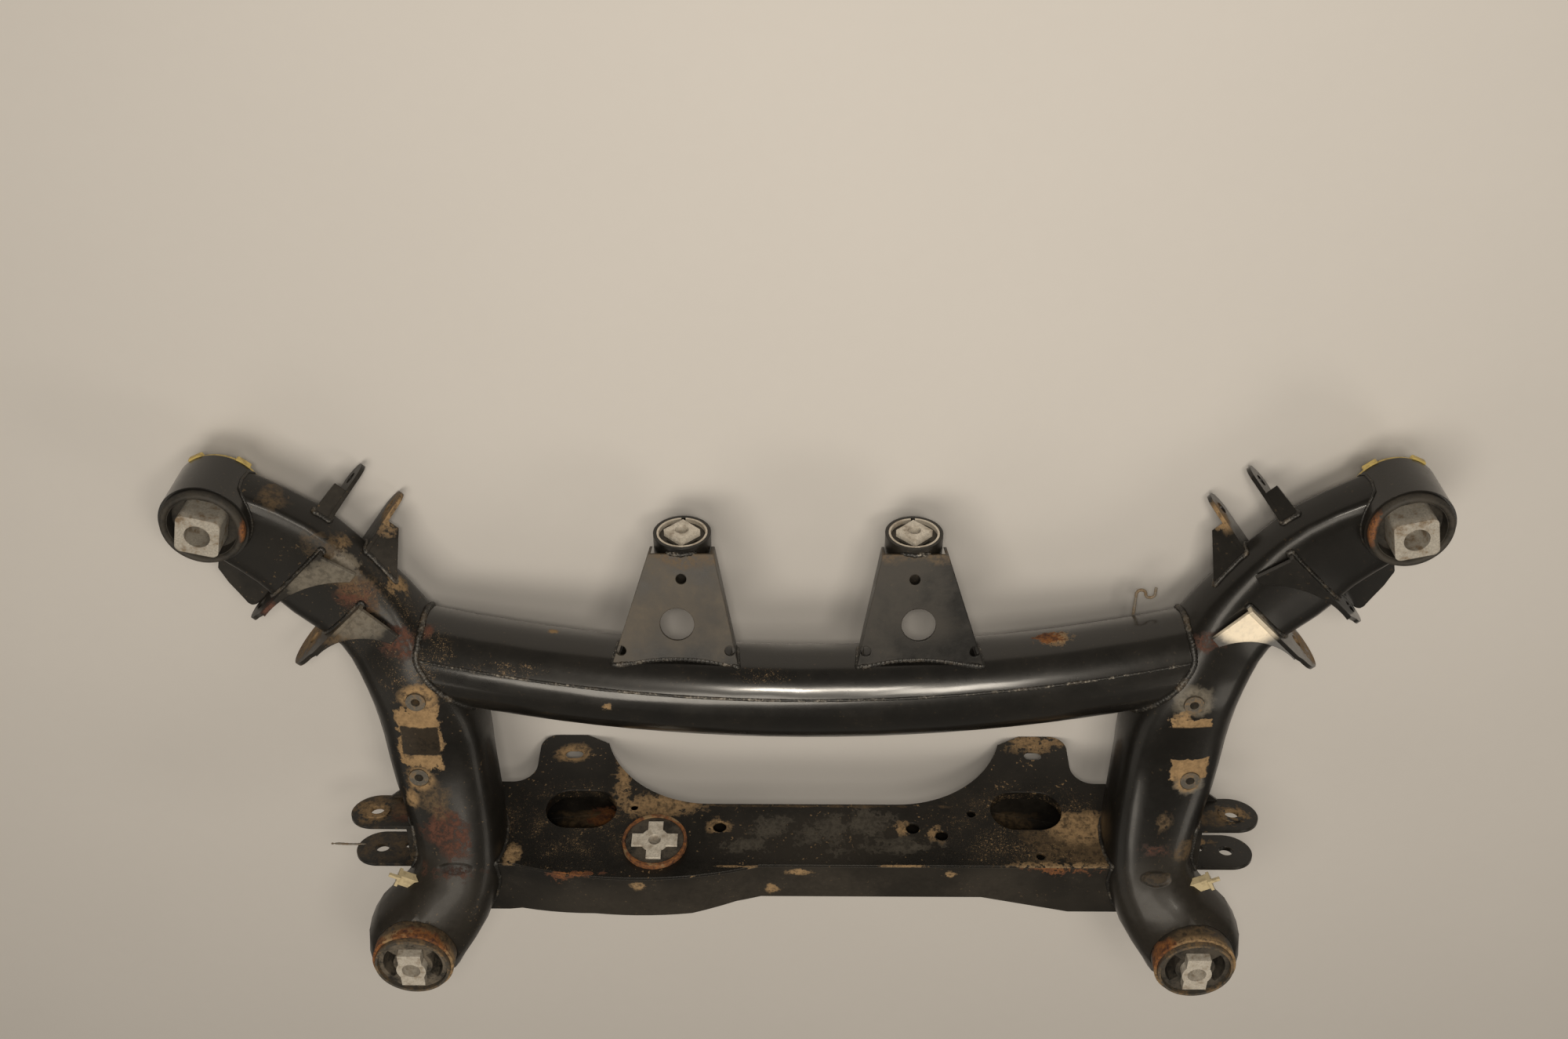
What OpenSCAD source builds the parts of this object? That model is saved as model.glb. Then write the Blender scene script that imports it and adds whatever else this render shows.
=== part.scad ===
// Rear subframe of a car: two hydroformed side members, a bowed cross tube and a stamped
// crossmember, welded together, with pressed-in bushes, link ears and brackets.
// Millimetres. X runs to the right, Y forward, Z up. It lies flat on its fingers and ears.

/* [Body mounts] */
// Distance between the left and right front mount axes
front_mount_span = 1086; // [1060:2:1110]
// Distance between the left and right rear mount axes
rear_mount_span = 772; // [756:2:788]
// Distance along the car from the front to the rear mount axes
mount_reach = 436; // [426:2:446]

/* [Front mount] */
// Outer diameter of the front mount housing
front_housing_d = 81; // [78:1:84]
// Wall of the front mount housing
front_housing_wall = 3.5; // [3:0.5:4.5]
// Height of the housing's lower edge above the ground
front_housing_z = 50; // [46:1:54]
// Length of the front mount housing
front_housing_h = 54; // [52:1:60]
// Diameter of the rubber flange on top of the housing
front_flange_d = 76; // [70:1:77]
// Thickness of the rubber flange
front_flange_t = 5; // [3:0.5:8]
// Diameter of the recess in the rubber around the core
front_recess_d = 62; // [58:1:66]
// Depth of the recess in the rubber around the core
front_recess_h = 14; // [8:1:20]
// Width across the flats of the front core
front_core_w = 39; // [34:1:42]
// Corner radius of the front core
front_core_r = 6; // [4:0.5:10]
// How far the front core stands above the rubber flange
front_core_proud = 14; // [10:0.5:18]
// Diameter of the bolt hole in the front core
front_bolt_d = 14.5; // [12:0.5:16]
// Diameter of the wide mouth of the front bolt hole
front_mouth_d = 23; // [20:1:26]
// Depth of the wide mouth of the front bolt hole
front_mouth_h = 27; // [20:1:32]
// Thickness of the yellow collar under the housing
collar_t = 5; // [3:0.5:6]
// Radius that the collar's two lips reach
collar_lip_r = 42; // [41:0.5:44]
// Angle that each of the collar's lips covers
collar_lip_angle = 20; // [14:1:26]

/* [Rear mount] */
// Outer diameter of the rear mount collar
rear_collar_d = 80; // [76:1:82]
// Wall of the rear mount collar
rear_collar_wall = 3; // [2:0.5:4]
// Height of the collar's lower edge above the ground
rear_collar_z = 148; // [142:1:150]
// Length of the rear mount collar
rear_collar_h = 87; // [84:1:90]
// Wall of the shell of the rear bush
rear_shell_wall = 2.5; // [2:0.5:3]
// How far the shell of the rear bush stands above the collar
rear_shell_proud = 5; // [2:0.5:8]
// Depth of the rubber below the shell's rim
rear_rubber_drop = 4; // [2:0.5:8]
// Length of the rear core along the car
rear_core_l = 42; // [36:1:46]
// Width of the rear core
rear_core_w = 23; // [20:1:26]
// Diameter of the round waist of the rear core
rear_waist_d = 29; // [27:0.5:32]
// How far the rear core stands above the sleeve's rim
rear_core_proud = 5; // [2:0.5:8]
// Diameter of the bolt hole in the rear core
rear_bolt_d = 14.5; // [12:0.5:16]
// Diameter of the hole's wide mouth in the rear core
rear_mouth_d = 18; // [17:0.5:20]
// Width of each opening in the rear rubber, beside the core
rear_window_w = 10; // [7:0.5:12]

/* [Side member] */
// Wall of the side members
member_wall = 3; // [2:0.5:4]
// Width of the arm behind the front mount
arm_w = 96; // [94:1:104]
// Height of the arm behind the front mount
arm_h = 50; // [46:1:56]
// Height of the arm's middle above the ground
arm_z = 70; // [68:1:73]
// Width of the member beside the cross tube
waist_w = 90; // [84:1:96]
// Height of the member beside the cross tube
waist_h = 94; // [92:1:100]
// Width of the rear leg
leg_w = 102; // [98:1:106]
// Height of the leg's end at the rear mount
leg_h = 76; // [72:1:80]
// Height of the leg's middle above the ground at the rear mount
leg_z = 190; // [186:1:194]

/* [Cross tube] */
// Outer diameter of the cross tube
tube_d = 89; // [80:1:90]
// Wall of the cross tube
tube_wall = 3.5; // [2.5:0.5:5]
// Position of the tube's middle along the car
tube_y = 33; // [26:1:38]
// Height of the tube's middle above the ground
tube_z = 113; // [108:1:116]
// Radius of the tube's bow
tube_bow_r = 1800; // [1650:25:2000]
// Slope of the bow: 0 bows to the rear, 90 bows upwards
tube_slope = 54; // [48:1:60]

/* [Axle-drive brackets] */
// Distance between the two front bracket centres
bracket_span = 216; // [200:2:232]
// Sideways offset of the pair of brackets
bracket_offset = -6; // [-12:1:0]
// Slope of the bracket's plate
bracket_slope = 17.9; // [16:0.1:20]
// Length of the bracket's plate from the tube to the ring
bracket_l = 101; // [96:1:106]
// Width of the bracket at the tube
bracket_base_w = 114; // [106:1:120]
// How far the bracket's foot leans outwards
bracket_flare = 6.5; // [4:0.5:9]
// Depth of the bracket's side flanges
bracket_depth = 24; // [18:1:28]
// Sheet thickness of the bracket
bracket_t = 3; // [2:0.5:4]
// Diameter of the large hole in the bracket
bracket_hole_d = 32; // [26:1:38]
// Diameter of the small hole in the bracket
bracket_pin_d = 10; // [8:0.5:14]
// Radius of the relief notch at the foot of each fold
bracket_notch_r = 5; // [3:0.5:7]
// Outer diameter of the bush ring
ring_d = 54; // [50:1:56]
// Wall of the bush ring
ring_wall = 3; // [2.5:0.5:4]
// Length of the bush ring
ring_l = 50; // [44:1:52]
// Height of the bush ring's axis above the ground
ring_z = 68; // [66:0.5:70]
// How far the ring stands out in front of the bracket
ring_proud = 6; // [3:0.5:10]
// Wall of the split sleeve inside the ring
split_wall = 2; // [1.5:0.5:3]
// Width of the slit in the split sleeve
split_gap = 4; // [2:0.5:6]
// Side of the diamond-shaped core
ring_core_w = 24; // [22:0.5:25]
// How far the diamond-shaped core stands out of the ring
ring_core_proud = 3; // [1:0.5:5]
// Diameter of the bolt hole in the diamond-shaped core
ring_bolt_d = 12.5; // [10:0.5:14]

/* [Crossmember] */
// Sheet thickness of the crossmember
cross_t = 3; // [2:0.5:4]
// Forward lean of the crossmember's front plate
cross_lean = 5.1; // [4:0.1:6]
// Position of the plate's lower edge along the car
cross_y = -128; // [-132:1:-124]
// Height of the plate's upper edge
cross_h = 173; // [168:1:178]
// How far the upper edge swells above the rear bush
cross_swell = 17; // [12:1:20]
// Height of the arch under the crossmember
arch_h = 95; // [90:1:100]
// Half of the straight stretch on top of the arch
arch_half = 97; // [92:1:100]
// Radius of the arch's two ends
arch_r = 116; // [112:1:118]
// Distance from the middle to the ear's outer edge
ear_outer = 281; // [276:1:286]
// Distance from the middle to the ear's hole
ear_hole_x = 244; // [240:1:248]
// Height of the ear's hole
ear_hole_z = 27; // [24:1:30]
// Width of the ear's slotted hole
ear_slot_d = 12; // [10:0.5:14]
// Distance between the slot's two end centres
ear_slot_l = 7; // [4:0.5:10]
// Height of the oval opening's middle
oval_z = 102.5; // [100:0.5:105]
// Distance from the middle to the oval opening
oval_x = 228.5; // [226:0.5:232]
// Height of the oval opening
oval_h = 50; // [46:1:52]
// Width of the oval opening
oval_w = 73; // [66:1:76]
// Depth of the lip around the oval opening
oval_lip = 8; // [5:0.5:12]
// Depth of the pan in the middle of the car
pan_depth = 50; // [46:1:54]
// Depth of the pan behind the rear bush
pan_deep = 60; // [57:1:64]
// Depth of the pan at its two ends
pan_end_depth = 73; // [68:1:76]
// Height of the pan's lower edge beside the ears
pan_floor = 58; // [54:1:62]

/* [Rear bush] */
// Distance of the rear bush from the middle, to the left
rear_bush_x = 149.5; // [146:0.5:153]
// Distance from the crossmember's far edge to the middle of the rear bush
rear_bush_drop = 26.5; // [24:0.5:29]
// Outer diameter of the rear bush sleeve
rear_bush_d = 65; // [60:1:68]
// Wall of the rear bush sleeve
rear_bush_wall = 3; // [2:0.5:4]
// How far the sleeve stands out of the front plate
rear_bush_proud = 6; // [4:0.5:9]
// Span of the rear bush's cross-shaped core
rear_cross_span = 46; // [40:1:48]
// Width of the arms of the cross-shaped core
rear_cross_w = 15; // [13:0.5:18]
// Diameter of the bolt hole in the cross-shaped core
rear_cross_bolt_d = 12.5; // [10:0.5:13]

/* [Links] */
// Plan angle of the link bolts, from straight across
link_angle = 45.8; // [44:0.1:48]
// Sheet thickness of the link ears and fingers
link_t = 4; // [3:0.5:5]
// Diameter of the link bolt holes
link_bolt_d = 12.5; // [10:0.5:14]
// Gap between the two rear ears of a link
ear_gap = 56; // [52:1:60]
// Distance from the arm's middle back to the rear ears' bolt
ear_reach = 66; // [64:1:70]
// Height of the rear ears' bolt above the ground
ear_bolt_z = 79; // [76:1:82]
// Radius of the outer rear ear's round end
outer_ear_r = 17; // [15:1:20]
// Radius of the inner rear ear's round end
inner_ear_r = 30; // [26:1:33]
// Width of the sheet folded over from the outer rear ear
outer_fold_w = 38; // [32:1:44]
// Width of the sheet folded over from the inner rear ear
inner_fold_w = 44; // [38:1:50]
// Slope at which the inner rear ear's sheet follows the member
inner_fold_slope = 16; // [12:1:20]
// Gap between the two front fingers of a link
finger_gap = 41; // [36:1:46]
// Distance from the arm's middle forward to the fingers' bolt
finger_reach = 67; // [64:1:70]
// Radius of the fingers' round end, which is also the bolt's height
finger_end_r = 17; // [15:0.5:19]
// Width of the lip along a finger's edge
finger_lip_w = 14; // [10:1:18]
// Width of the inner finger's lip where it meets the arm
inner_lip_w = 44; // [34:1:50]

/* [Side clevis] */
// Distance from the middle of the car to the clevis bolt
clevis_x = 429; // [425:1:435]
// Position of the clevis's middle along the car
clevis_y = -138; // [-142:1:-132]
// Height of the clevis bolt above the ground
clevis_z = 133; // [130:1:137]
// Rise of the clevis bolt towards the rear
clevis_rise = 8.5; // [6:0.5:11]
// Gap between the clevis's two plates
clevis_gap = 42; // [38:1:46]
// Sheet thickness of the clevis
clevis_t = 3.5; // [2.5:0.5:4.5]
// Radius of the clevis's round ends
clevis_end_r = 26; // [23:1:28]
// Diameter of the clevis bolt holes
clevis_bolt_d = 14; // [12:0.5:16]
// Diameter of the raised ring around a clevis hole
clevis_rim_d = 26; // [22:1:28]
// Height of the raised ring around a clevis hole
clevis_rim_h = 1.2; // [0.8:0.1:2]
// Diameter of the small hole in the rear plate
clevis_small_d = 9; // [7:0.5:11]

/* [Small pieces] */
// Distance between the two stabiliser nuts on a side member
nut_span = 89; // [84:1:94]
// Outer diameter of a stabiliser nut
nut_d = 19; // [17:0.5:22]
// Diameter of the tapped hole in a stabiliser nut
nut_bore_d = 8.5; // [6.5:0.5:10]
// Height of a stabiliser nut
nut_h = 16; // [12:1:20]
// How far a stabiliser nut stands above the member
nut_proud = 1.5; // [1:0.5:3]
// Width of the broken plastic leg clip
clip_w = 13; // [10:1:16]
// Thickness of the wire of the wire clip
wire_d = 3; // [2:0.5:4]

/* [Hidden] */
$fn = 48;
steel = "#26241f";
bare_steel = "#5a5650";
rust = "#7c5230";
aluminium = "#a9a597";
rubber = "#1b1a19";
yellow = "#c8b04a";
beige = "#b3a681";

// Play between curved faces that are welded, pressed or bonded together
weld_gap = 0.25;
// Overshoot of a cut past the face that it goes through
past = 1;

// Shift along the car that puts the middle of the outline at zero
mid_y = (leg_w - front_housing_d) / 4;
front_x = front_mount_span / 2;
front_y = mount_reach / 2 + mid_y;
rear_x = rear_mount_span / 2;
rear_y = -mount_reach / 2 + mid_y;
tube_at = tube_y + mid_y;
front_bore_d = front_housing_d - 2 * front_housing_wall;
rear_bush_z = cross_h - rear_bush_drop;
front_top = front_housing_z + front_housing_h;
rear_collar_bore = rear_collar_d - 2 * rear_collar_wall;
rear_shell_d = rear_collar_bore - 2 * weld_gap;
rear_bore_d = rear_shell_d - 2 * rear_shell_wall;
rear_shell_h = rear_collar_h + rear_shell_proud;

// Helpers

// Draws a right-hand piece, or its mirror image on the left
module on_side(side) {
    if (side < 0) mirror([1, 0, 0]) children();
    else children();
}

// Square with true round corners
module round_square(width, radius) {
    square([width, width - 2 * radius], center = true);
    square([width - 2 * radius, width], center = true);
    for (sx = [-1, 1], sy = [-1, 1])
        translate([sx, sy] * (width / 2 - radius)) circle(radius);
}

// Slot with round ends, lying along X
module slot(between, diameter) {
    square([between, diameter], center = true);
    for (s = [-1, 1]) translate([s * between / 2, 0]) circle(d = diameter);
}

// Straight tube standing on the ground plane
module pipe(outer_d, inner_d, height) {
    difference() {
        cylinder(d = outer_d, h = height);
        translate([0, 0, -past]) cylinder(d = inner_d, h = height + 2 * past);
    }
}

// Side member: a skin over sections that stand upright along a plan path

// Sections of the right member: x, y, z of the middle, width, height, squareness of the corners
link_at = [front_x - 91, front_y - 79];
stations = [
    [front_x, front_y, arm_z, front_housing_d - 3, arm_h, 4.5],
    [front_x - 58, front_y - 43, arm_z, arm_w - 4, arm_h, 4.5],
    [link_at.x, link_at.y, arm_z + 2, arm_w, arm_h + 4, 3.8],
    [front_x - 131, front_y - 121, arm_z + 5, waist_w - 4, waist_h - 26, 3],
    [front_x - 158, front_y - 167, arm_z + 16, waist_w - 4, waist_h, 2.8],
    [front_x - 178, front_y - 223, arm_z + 26, waist_w + 10, waist_h - 4, 3],
    [front_x - 185, front_y - 278, arm_z + 38, waist_w + 8, waist_h - 10, 3.2],
    [rear_x - 42, rear_y + 78, leg_z - 50, leg_w - 14, leg_h + 16, 2.6],
    [rear_x - 30, rear_y + 35, leg_z - 19, leg_w - 13, leg_h + 15, 2.6],
    [rear_x, rear_y, leg_z, leg_w, leg_h, 3]
];
sides = 24;
steps = 3;
last_station = len(stations) - 1;
// Angles at which the round end of the leg has its sections
end_angles = [24, 46, 66, 82];

function curve(a, b, c, d, t) =
    0.5 * (2 * b + (c - a) * t + (2 * a - 5 * b + 4 * c - d) * t * t
        + (3 * b - a - 3 * c + d) * t * t * t);
function station(u) =
    let (i = min(floor(u), last_station - 1))
    curve(stations[max(i - 1, 0)], stations[i], stations[i + 1],
        stations[min(i + 2, last_station)], u - i);
function heading(u) =
    let (d = station(min(u + 0.05, last_station)) - station(max(u - 0.05, 0)))
    [d.x, d.y] / norm([d.x, d.y]);
function power(value, exponent) = sign(value) * pow(abs(value), exponent);
// One upright section: the plan offset along the path, and how much of the width is left
function section(u, grow, along, narrow) =
    let (s = station(u), d = heading(u), w = (s[3] / 2 + grow) * narrow, h = s[4] / 2 + grow)
    [for (j = [0 : sides - 1])
        let (a = 360 * j / sides, across = w * power(cos(a), 2 / s[5]))
        [s.x + d.x * along - d.y * across, s.y + d.y * along + d.x * across,
            s.z + h * power(sin(a), 2 / s[5])]];
function rounded_section(angle, grow) =
    section(last_station, grow, (leg_w / 2 + grow) * sin(angle), cos(angle));
function member_sections(grow) = concat(
    [for (k = [0 : steps * last_station]) section(k / steps, grow, 0, 1)],
    [for (a = end_angles) rounded_section(a, grow)]);

function flat(lists) = [for (part = lists) each part];
// Triangles of the skin between neighbouring sections; first is the index of its first point
function skin(count, first, inward) = [
    for (k = [0 : count - 2], j = [0 : sides - 1])
        let (a = first + k * sides + j, b = first + k * sides + (j + 1) % sides,
            c = b + sides, d = a + sides)
        each inward ? [[a, b, c], [a, c, d]] : [[a, c, b], [a, d, c]]];
function lid(first, inward) = [
    inward ? [for (j = [0 : sides - 1]) first + sides - 1 - j] : [for (j = [0 : sides - 1]) first + j]];

// Hollow member, open at the front mount and closed by the leg's round end
module member_shell() {
    outer = member_sections(0);
    inner = member_sections(-member_wall);
    count = len(outer);
    inside = count * sides;
    rim = [for (j = [0 : sides - 1])
        let (a = j, b = (j + 1) % sides)
        each [[a, b, inside + b], [a, inside + b, inside + a]]];
    polyhedron(flat(concat(outer, inner)),
        concat(skin(count, 0, false), skin(count, inside, true), rim,
            lid((count - 1) * sides, true), lid(inside + (count - 1) * sides, false)));
}

// Solid stretch of the member between two of its sections, for cutting what is welded to it
module member_core(from, to) {
    all = member_sections(weld_gap);
    part = [for (k = [from : to]) all[k]];
    polyhedron(flat(part),
        concat(skin(len(part), 0, false), lid(0, false), lid((len(part) - 1) * sides, true)));
}

// Height of the member's upper face above the ground at a station
function member_top(u) = let (s = station(u)) s.z + s[4] / 2;

module member(side) {
    color(steel)
    on_side(side)
    difference() {
        member_shell();
        translate([front_x, front_y, 0])
            cylinder(d = front_housing_d + 2 * weld_gap, h = front_top);
        translate([rear_x, rear_y, rear_collar_z - past])
            cylinder(d = rear_collar_d + 2 * weld_gap, h = rear_collar_h + 2 * past);
        nut_places()
            translate([0, 0, -nut_h]) cylinder(d = nut_d + 2 * weld_gap, h = 2 * nut_h);
    }
}

// Cross tube: a round bar along the bowed path, used for the tube, its hollow and its cuts
tube_half = front_x - 146;
module tube_bar(radius) {
    bend = asin(tube_half / tube_bow_r);
    translate([0, tube_at, tube_z])
    rotate([-tube_slope, 0, 0])
    translate([0, tube_bow_r, 0])
    rotate(-90 - bend)
    rotate_extrude(angle = 2 * bend, $fn = 720)
    translate([tube_bow_r, 0])
    circle(radius, $fn = 48);
}

// Sections between which the cross tube meets the side member
saddle_from = 8;
saddle_to = 16;
module front_cross_tube() {
    color(steel)
    difference() {
        tube_bar(tube_d / 2);
        tube_bar(tube_d / 2 - tube_wall);
        for (side = [-1, 1]) on_side(side) {
            member_core(saddle_from, saddle_to);
            tube_end_cut();
        }
    }
}

// Everything outside of a plane that stands inside the member, along its path
module tube_end_cut() {
    here = station(4);
    way = heading(4);
    translate([here.x, here.y, 0])
    rotate(atan2(way.x, -way.y))
    translate([-14, -front_x / 2, -past])
    cube([front_x, front_x, 2 * tube_z]);
}

// Front mount

module at_front_mount(side) {
    on_side(side) translate([front_x, front_y, 0]) children();
}

module front_housing(side) {
    color(steel)
    at_front_mount(side)
    translate([0, 0, front_housing_z])
    pipe(front_housing_d, front_bore_d, front_housing_h);
}

module front_core_prism(grow, from, to) {
    translate([0, 0, from])
    rotate(14)
    linear_extrude(to - from)
    round_square(front_core_w + 2 * grow, front_core_r + grow);
}

module front_rubber(side) {
    recess_z = front_top + front_flange_t - front_recess_h;
    color(rubber)
    at_front_mount(side)
    difference() {
        union() {
            translate([0, 0, front_housing_z + collar_t])
                cylinder(d = front_bore_d - 2 * weld_gap, h = front_housing_h - collar_t);
            translate([0, 0, front_top]) cylinder(d = front_flange_d, h = front_flange_t);
        }
        front_core_prism(weld_gap, front_housing_z, front_top + front_flange_t + past);
        translate([0, 0, recess_z]) cylinder(d = front_recess_d, h = front_recess_h + past);
    }
}

module front_core(side) {
    top = front_top + front_flange_t + front_core_proud;
    color(aluminium)
    at_front_mount(side)
    difference() {
        front_core_prism(0, front_housing_z, top);
        translate([0, 0, front_housing_z - past]) cylinder(d = front_bolt_d, h = top);
        translate([0, 0, top - front_mouth_h]) cylinder(d = front_mouth_d, h = front_mouth_h + past);
    }
}

// Yellow stop ring that sits under the housing, with two lips that show past its edge
module front_collar(side) {
    lip_half = collar_lip_r * sin(collar_lip_angle / 2);
    color(yellow)
    at_front_mount(side)
    translate([0, 0, front_housing_z - collar_t])
    linear_extrude(collar_t)
    difference() {
        union() {
            circle(d = front_housing_d - 4);
            for (middle = [65, 130])
                rotate(middle)
                polygon([[0, -lip_half], [collar_lip_r - 1, -lip_half], [collar_lip_r, 1 - lip_half],
                    [collar_lip_r, lip_half - 1], [collar_lip_r - 1, lip_half], [0, lip_half]]);
        }
        circle(d = front_bore_d - 14);
    }
}

// Rear mount

module at_rear_mount(side) {
    on_side(side) translate([rear_x, rear_y, 0]) children();
}

module rear_collar(side) {
    color(rust)
    at_rear_mount(side)
    translate([0, 0, rear_collar_z])
    pipe(rear_collar_d, rear_collar_bore, rear_collar_h);
}

module rear_shell(side) {
    color(bare_steel)
    at_rear_mount(side)
    translate([0, 0, rear_collar_z])
    pipe(rear_shell_d, rear_bore_d, rear_shell_h);
}

module rear_core_outline(grow) {
    square([rear_core_w + 2 * grow, rear_core_l + 2 * grow], center = true);
    circle(d = rear_waist_d + 2 * grow);
}

module rear_rubber(side) {
    height = rear_shell_h - rear_rubber_drop - past;
    color(rubber)
    at_rear_mount(side)
    translate([0, 0, rear_collar_z + past])
    difference() {
        cylinder(d = rear_bore_d - 2 * weld_gap, h = height);
        translate([0, 0, -past]) linear_extrude(height + 2 * past) rear_core_outline(weld_gap);
        // Openings beside the core, with round inner and outer walls
        for (s = [0, 180])
            rotate(s - 40)
            translate([0, 0, -past])
            rotate_extrude(angle = 80)
            translate([rear_bore_d / 2 - 5 - rear_window_w, 0])
            square([rear_window_w, height + 2 * past]);
    }
}

module rear_core(side) {
    height = rear_shell_h + rear_core_proud;
    color(aluminium)
    at_rear_mount(side)
    translate([0, 0, rear_collar_z])
    difference() {
        linear_extrude(height) rear_core_outline(0);
        translate([0, 0, -past]) cylinder(d = rear_bolt_d, h = height + 2 * past);
        translate([0, 0, height - 16]) cylinder(d = rear_mouth_d, h = 16 + past);
    }
}

// Crossmember: drawn flat, x across the car and y up, front face at z = 0 and depth along z

module on_crossmember() {
    translate([0, cross_y + mid_y, cross_t * sin(cross_lean)]) rotate([90 + cross_lean, 0, 0]) children();
}

cross_half = 345;
swell_x = -165;
swell_r = 448;
notch_h = 66;
notch_r = 23;
ear_foot = 232;
ear_corner_r = 18;

// Outline of the crossmember; inset moves every edge inwards by a wall's thickness
module cross_outline(inset) {
    difference() {
        union() {
            translate([-cross_half, 0]) square([2 * cross_half, cross_h - inset]);
            intersection() {
                translate([swell_x, cross_h + cross_swell - swell_r]) circle(swell_r - inset);
                translate([swell_x - cross_half / 2, arch_h + 2 * past])
                    square([cross_half, cross_h]);
            }
        }
        // Arch between the ears
        translate([-arch_half, -past]) square([2 * arch_half, arch_h + inset + past]);
        for (s = [-1, 1])
            translate([s * arch_half, arch_h - arch_r]) circle(arch_r + inset);
        // Notch outside each ear
        for (s = [-1, 1]) mirror([s < 0 ? 1 : 0, 0]) {
            translate([ear_outer + notch_r, -past])
                square([cross_half, notch_h + inset + past]);
            translate([ear_outer - inset, -past])
                square([notch_r + inset + past, notch_h - notch_r + past]);
            translate([ear_outer + notch_r, notch_h - notch_r]) circle(notch_r + inset);
        }
    }
}

// Slants the inner foot of each ear and rounds the outer one
module ear_trim() {
    for (s = [-1, 1]) mirror([s < 0 ? 1 : 0, 0]) {
        polygon([[ear_foot, -past], [ear_foot, 0], [arch_half + arch_r - 4, 12],
            [arch_half + arch_r - 20, -past]]);
        difference() {
            translate([ear_outer - ear_corner_r, -past])
                square([ear_corner_r + past, ear_corner_r + past]);
            translate([ear_outer - ear_corner_r, ear_corner_r]) circle(ear_corner_r);
        }
    }
}

// Small holes in the front plate: x, distance from the far edge, diameter
plate_holes = [[-85, 48, 14], [-174, 73, 8], [111, 47, 14], [140, 38, 13], [172, 66, 9], [237, 12, 9]];

module crossmember_front_plate() {
    color(steel)
    difference() {
        on_crossmember() {
            difference() {
                linear_extrude(cross_t)
                    difference() {
                        cross_outline(0);
                        ear_trim();
                        for (s = [-1, 1]) {
                            translate([s * ear_hole_x, ear_hole_z]) slot(ear_slot_l, ear_slot_d);
                            translate([s * oval_x, oval_z]) slot(oval_w - oval_h, oval_h);
                        }
                        for (hole = plate_holes) translate([hole.x, cross_h - hole.y]) circle(d = hole[2]);
                        translate([-rear_bush_x, rear_bush_z]) circle(d = rear_bush_d + 2 * weld_gap);
                    }
            }
            // Lips turned inwards around the oval openings
            for (s = [-1, 1])
                translate([s * oval_x, oval_z, 0])
                difference() {
                    linear_extrude(cross_t + oval_lip) slot(oval_w - oval_h, oval_h + 2 * cross_t);
                    translate([0, 0, -past])
                        linear_extrude(cross_t + oval_lip + 2 * past) slot(oval_w - oval_h, oval_h);
                }
        }
        for (side = [-1, 1]) on_side(side) member_core(cross_from, cross_to);
    }
}

// Sections between which the crossmember meets the side member
cross_from = 19;
cross_to = 27;
// Plan of the pan: deep on the left behind the rear bush, and deeper at both ends
pan_left = -112;
pan_left_end = -300;
pan_right = 270;
pan_ramp = 45;
module pan_plan(inset) {
    deep = pan_deep - inset;
    shallow = pan_depth - inset;
    ends = pan_end_depth - inset;
    polygon([
        [-cross_half - past, cross_t], [-cross_half - past, ends], [pan_left_end, ends],
        [pan_left_end + 2 * pan_ramp, deep], [pan_left, deep], [pan_left + pan_ramp, shallow],
        [pan_right - 2 * pan_ramp, shallow], [pan_right, ends],
        [cross_half + past, ends], [cross_half + past, cross_t]
    ]);
}

// Body of the pan: the outline drawn back along the car, limited by the plan
module pan_body(inset) {
    intersection() {
        translate([0, 0, cross_t])
            linear_extrude(pan_end_depth)
            intersection() {
                cross_outline(inset);
                translate([-cross_half, pan_floor + inset])
                    square([2 * cross_half, cross_h]);
            }
        rotate([-90, 0, 0])
            translate([0, 0, -past])
            linear_extrude(cross_h + cross_swell + 2 * past)
            mirror([0, 1]) pan_plan(inset);
    }
}

module crossmember_pan() {
    color(bare_steel)
    difference() {
        on_crossmember()
            difference() {
                pan_body(0);
                translate([0, 0, -past]) pan_body(cross_t);
                pan_body(cross_t);
            }
        for (side = [-1, 1]) on_side(side) member_core(cross_from, cross_to);
    }
}

// Rear bush: its sleeve reaches from in front of the plate to the pan's back wall

module at_rear_bush() {
    on_crossmember()
    translate([-rear_bush_x, rear_bush_z, -rear_bush_proud])
    children();
}
rear_bush_l = rear_bush_proud + pan_deep - cross_t;
rear_bush_bore = rear_bush_d - 2 * rear_bush_wall;

module rear_bush_sleeve() {
    color(rust) at_rear_bush() pipe(rear_bush_d, rear_bush_bore, rear_bush_l);
}

module rear_cross_outline(grow) {
    for (turn = [0, 90])
        rotate(turn) square([rear_cross_span + 2 * grow, rear_cross_w + 2 * grow], center = true);
    circle(d = rear_cross_span * 0.62 + 2 * grow);
}

module rear_bush_rubber() {
    color(rubber)
    at_rear_bush()
    translate([0, 0, 2])
    difference() {
        cylinder(d = rear_bush_bore - 2 * weld_gap, h = rear_bush_l - 4);
        translate([0, 0, -past]) linear_extrude(rear_bush_l) rear_cross_outline(weld_gap);
    }
}

module rear_bush_core() {
    color(aluminium)
    at_rear_bush()
    difference() {
        linear_extrude(rear_bush_l - 2) rear_cross_outline(0);
        translate([0, 0, -past]) cylinder(d = rear_cross_bolt_d, h = rear_bush_l + 2 * past);
    }
}

// Front axle-drive brackets: folded channels from the cross tube to the bush rings

function bracket_x(side) = bracket_offset + side * bracket_span / 2;
// The plate's upper end lies on top of the ring, a little behind the ring's front edge
ring_front = tube_at + tube_d / 2 + bracket_l * cos(bracket_slope) + ring_proud + 7;
plate_end = [ring_front - ring_proud, ring_z + ring_d / 2];
bracket_top_w = ring_d + 2 * weld_gap + 2 * bracket_t;

module on_bracket(side) {
    translate([bracket_x(side), plate_end.x, plate_end.y])
    rotate([-bracket_slope, 0, 0])
    children();
}

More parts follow.
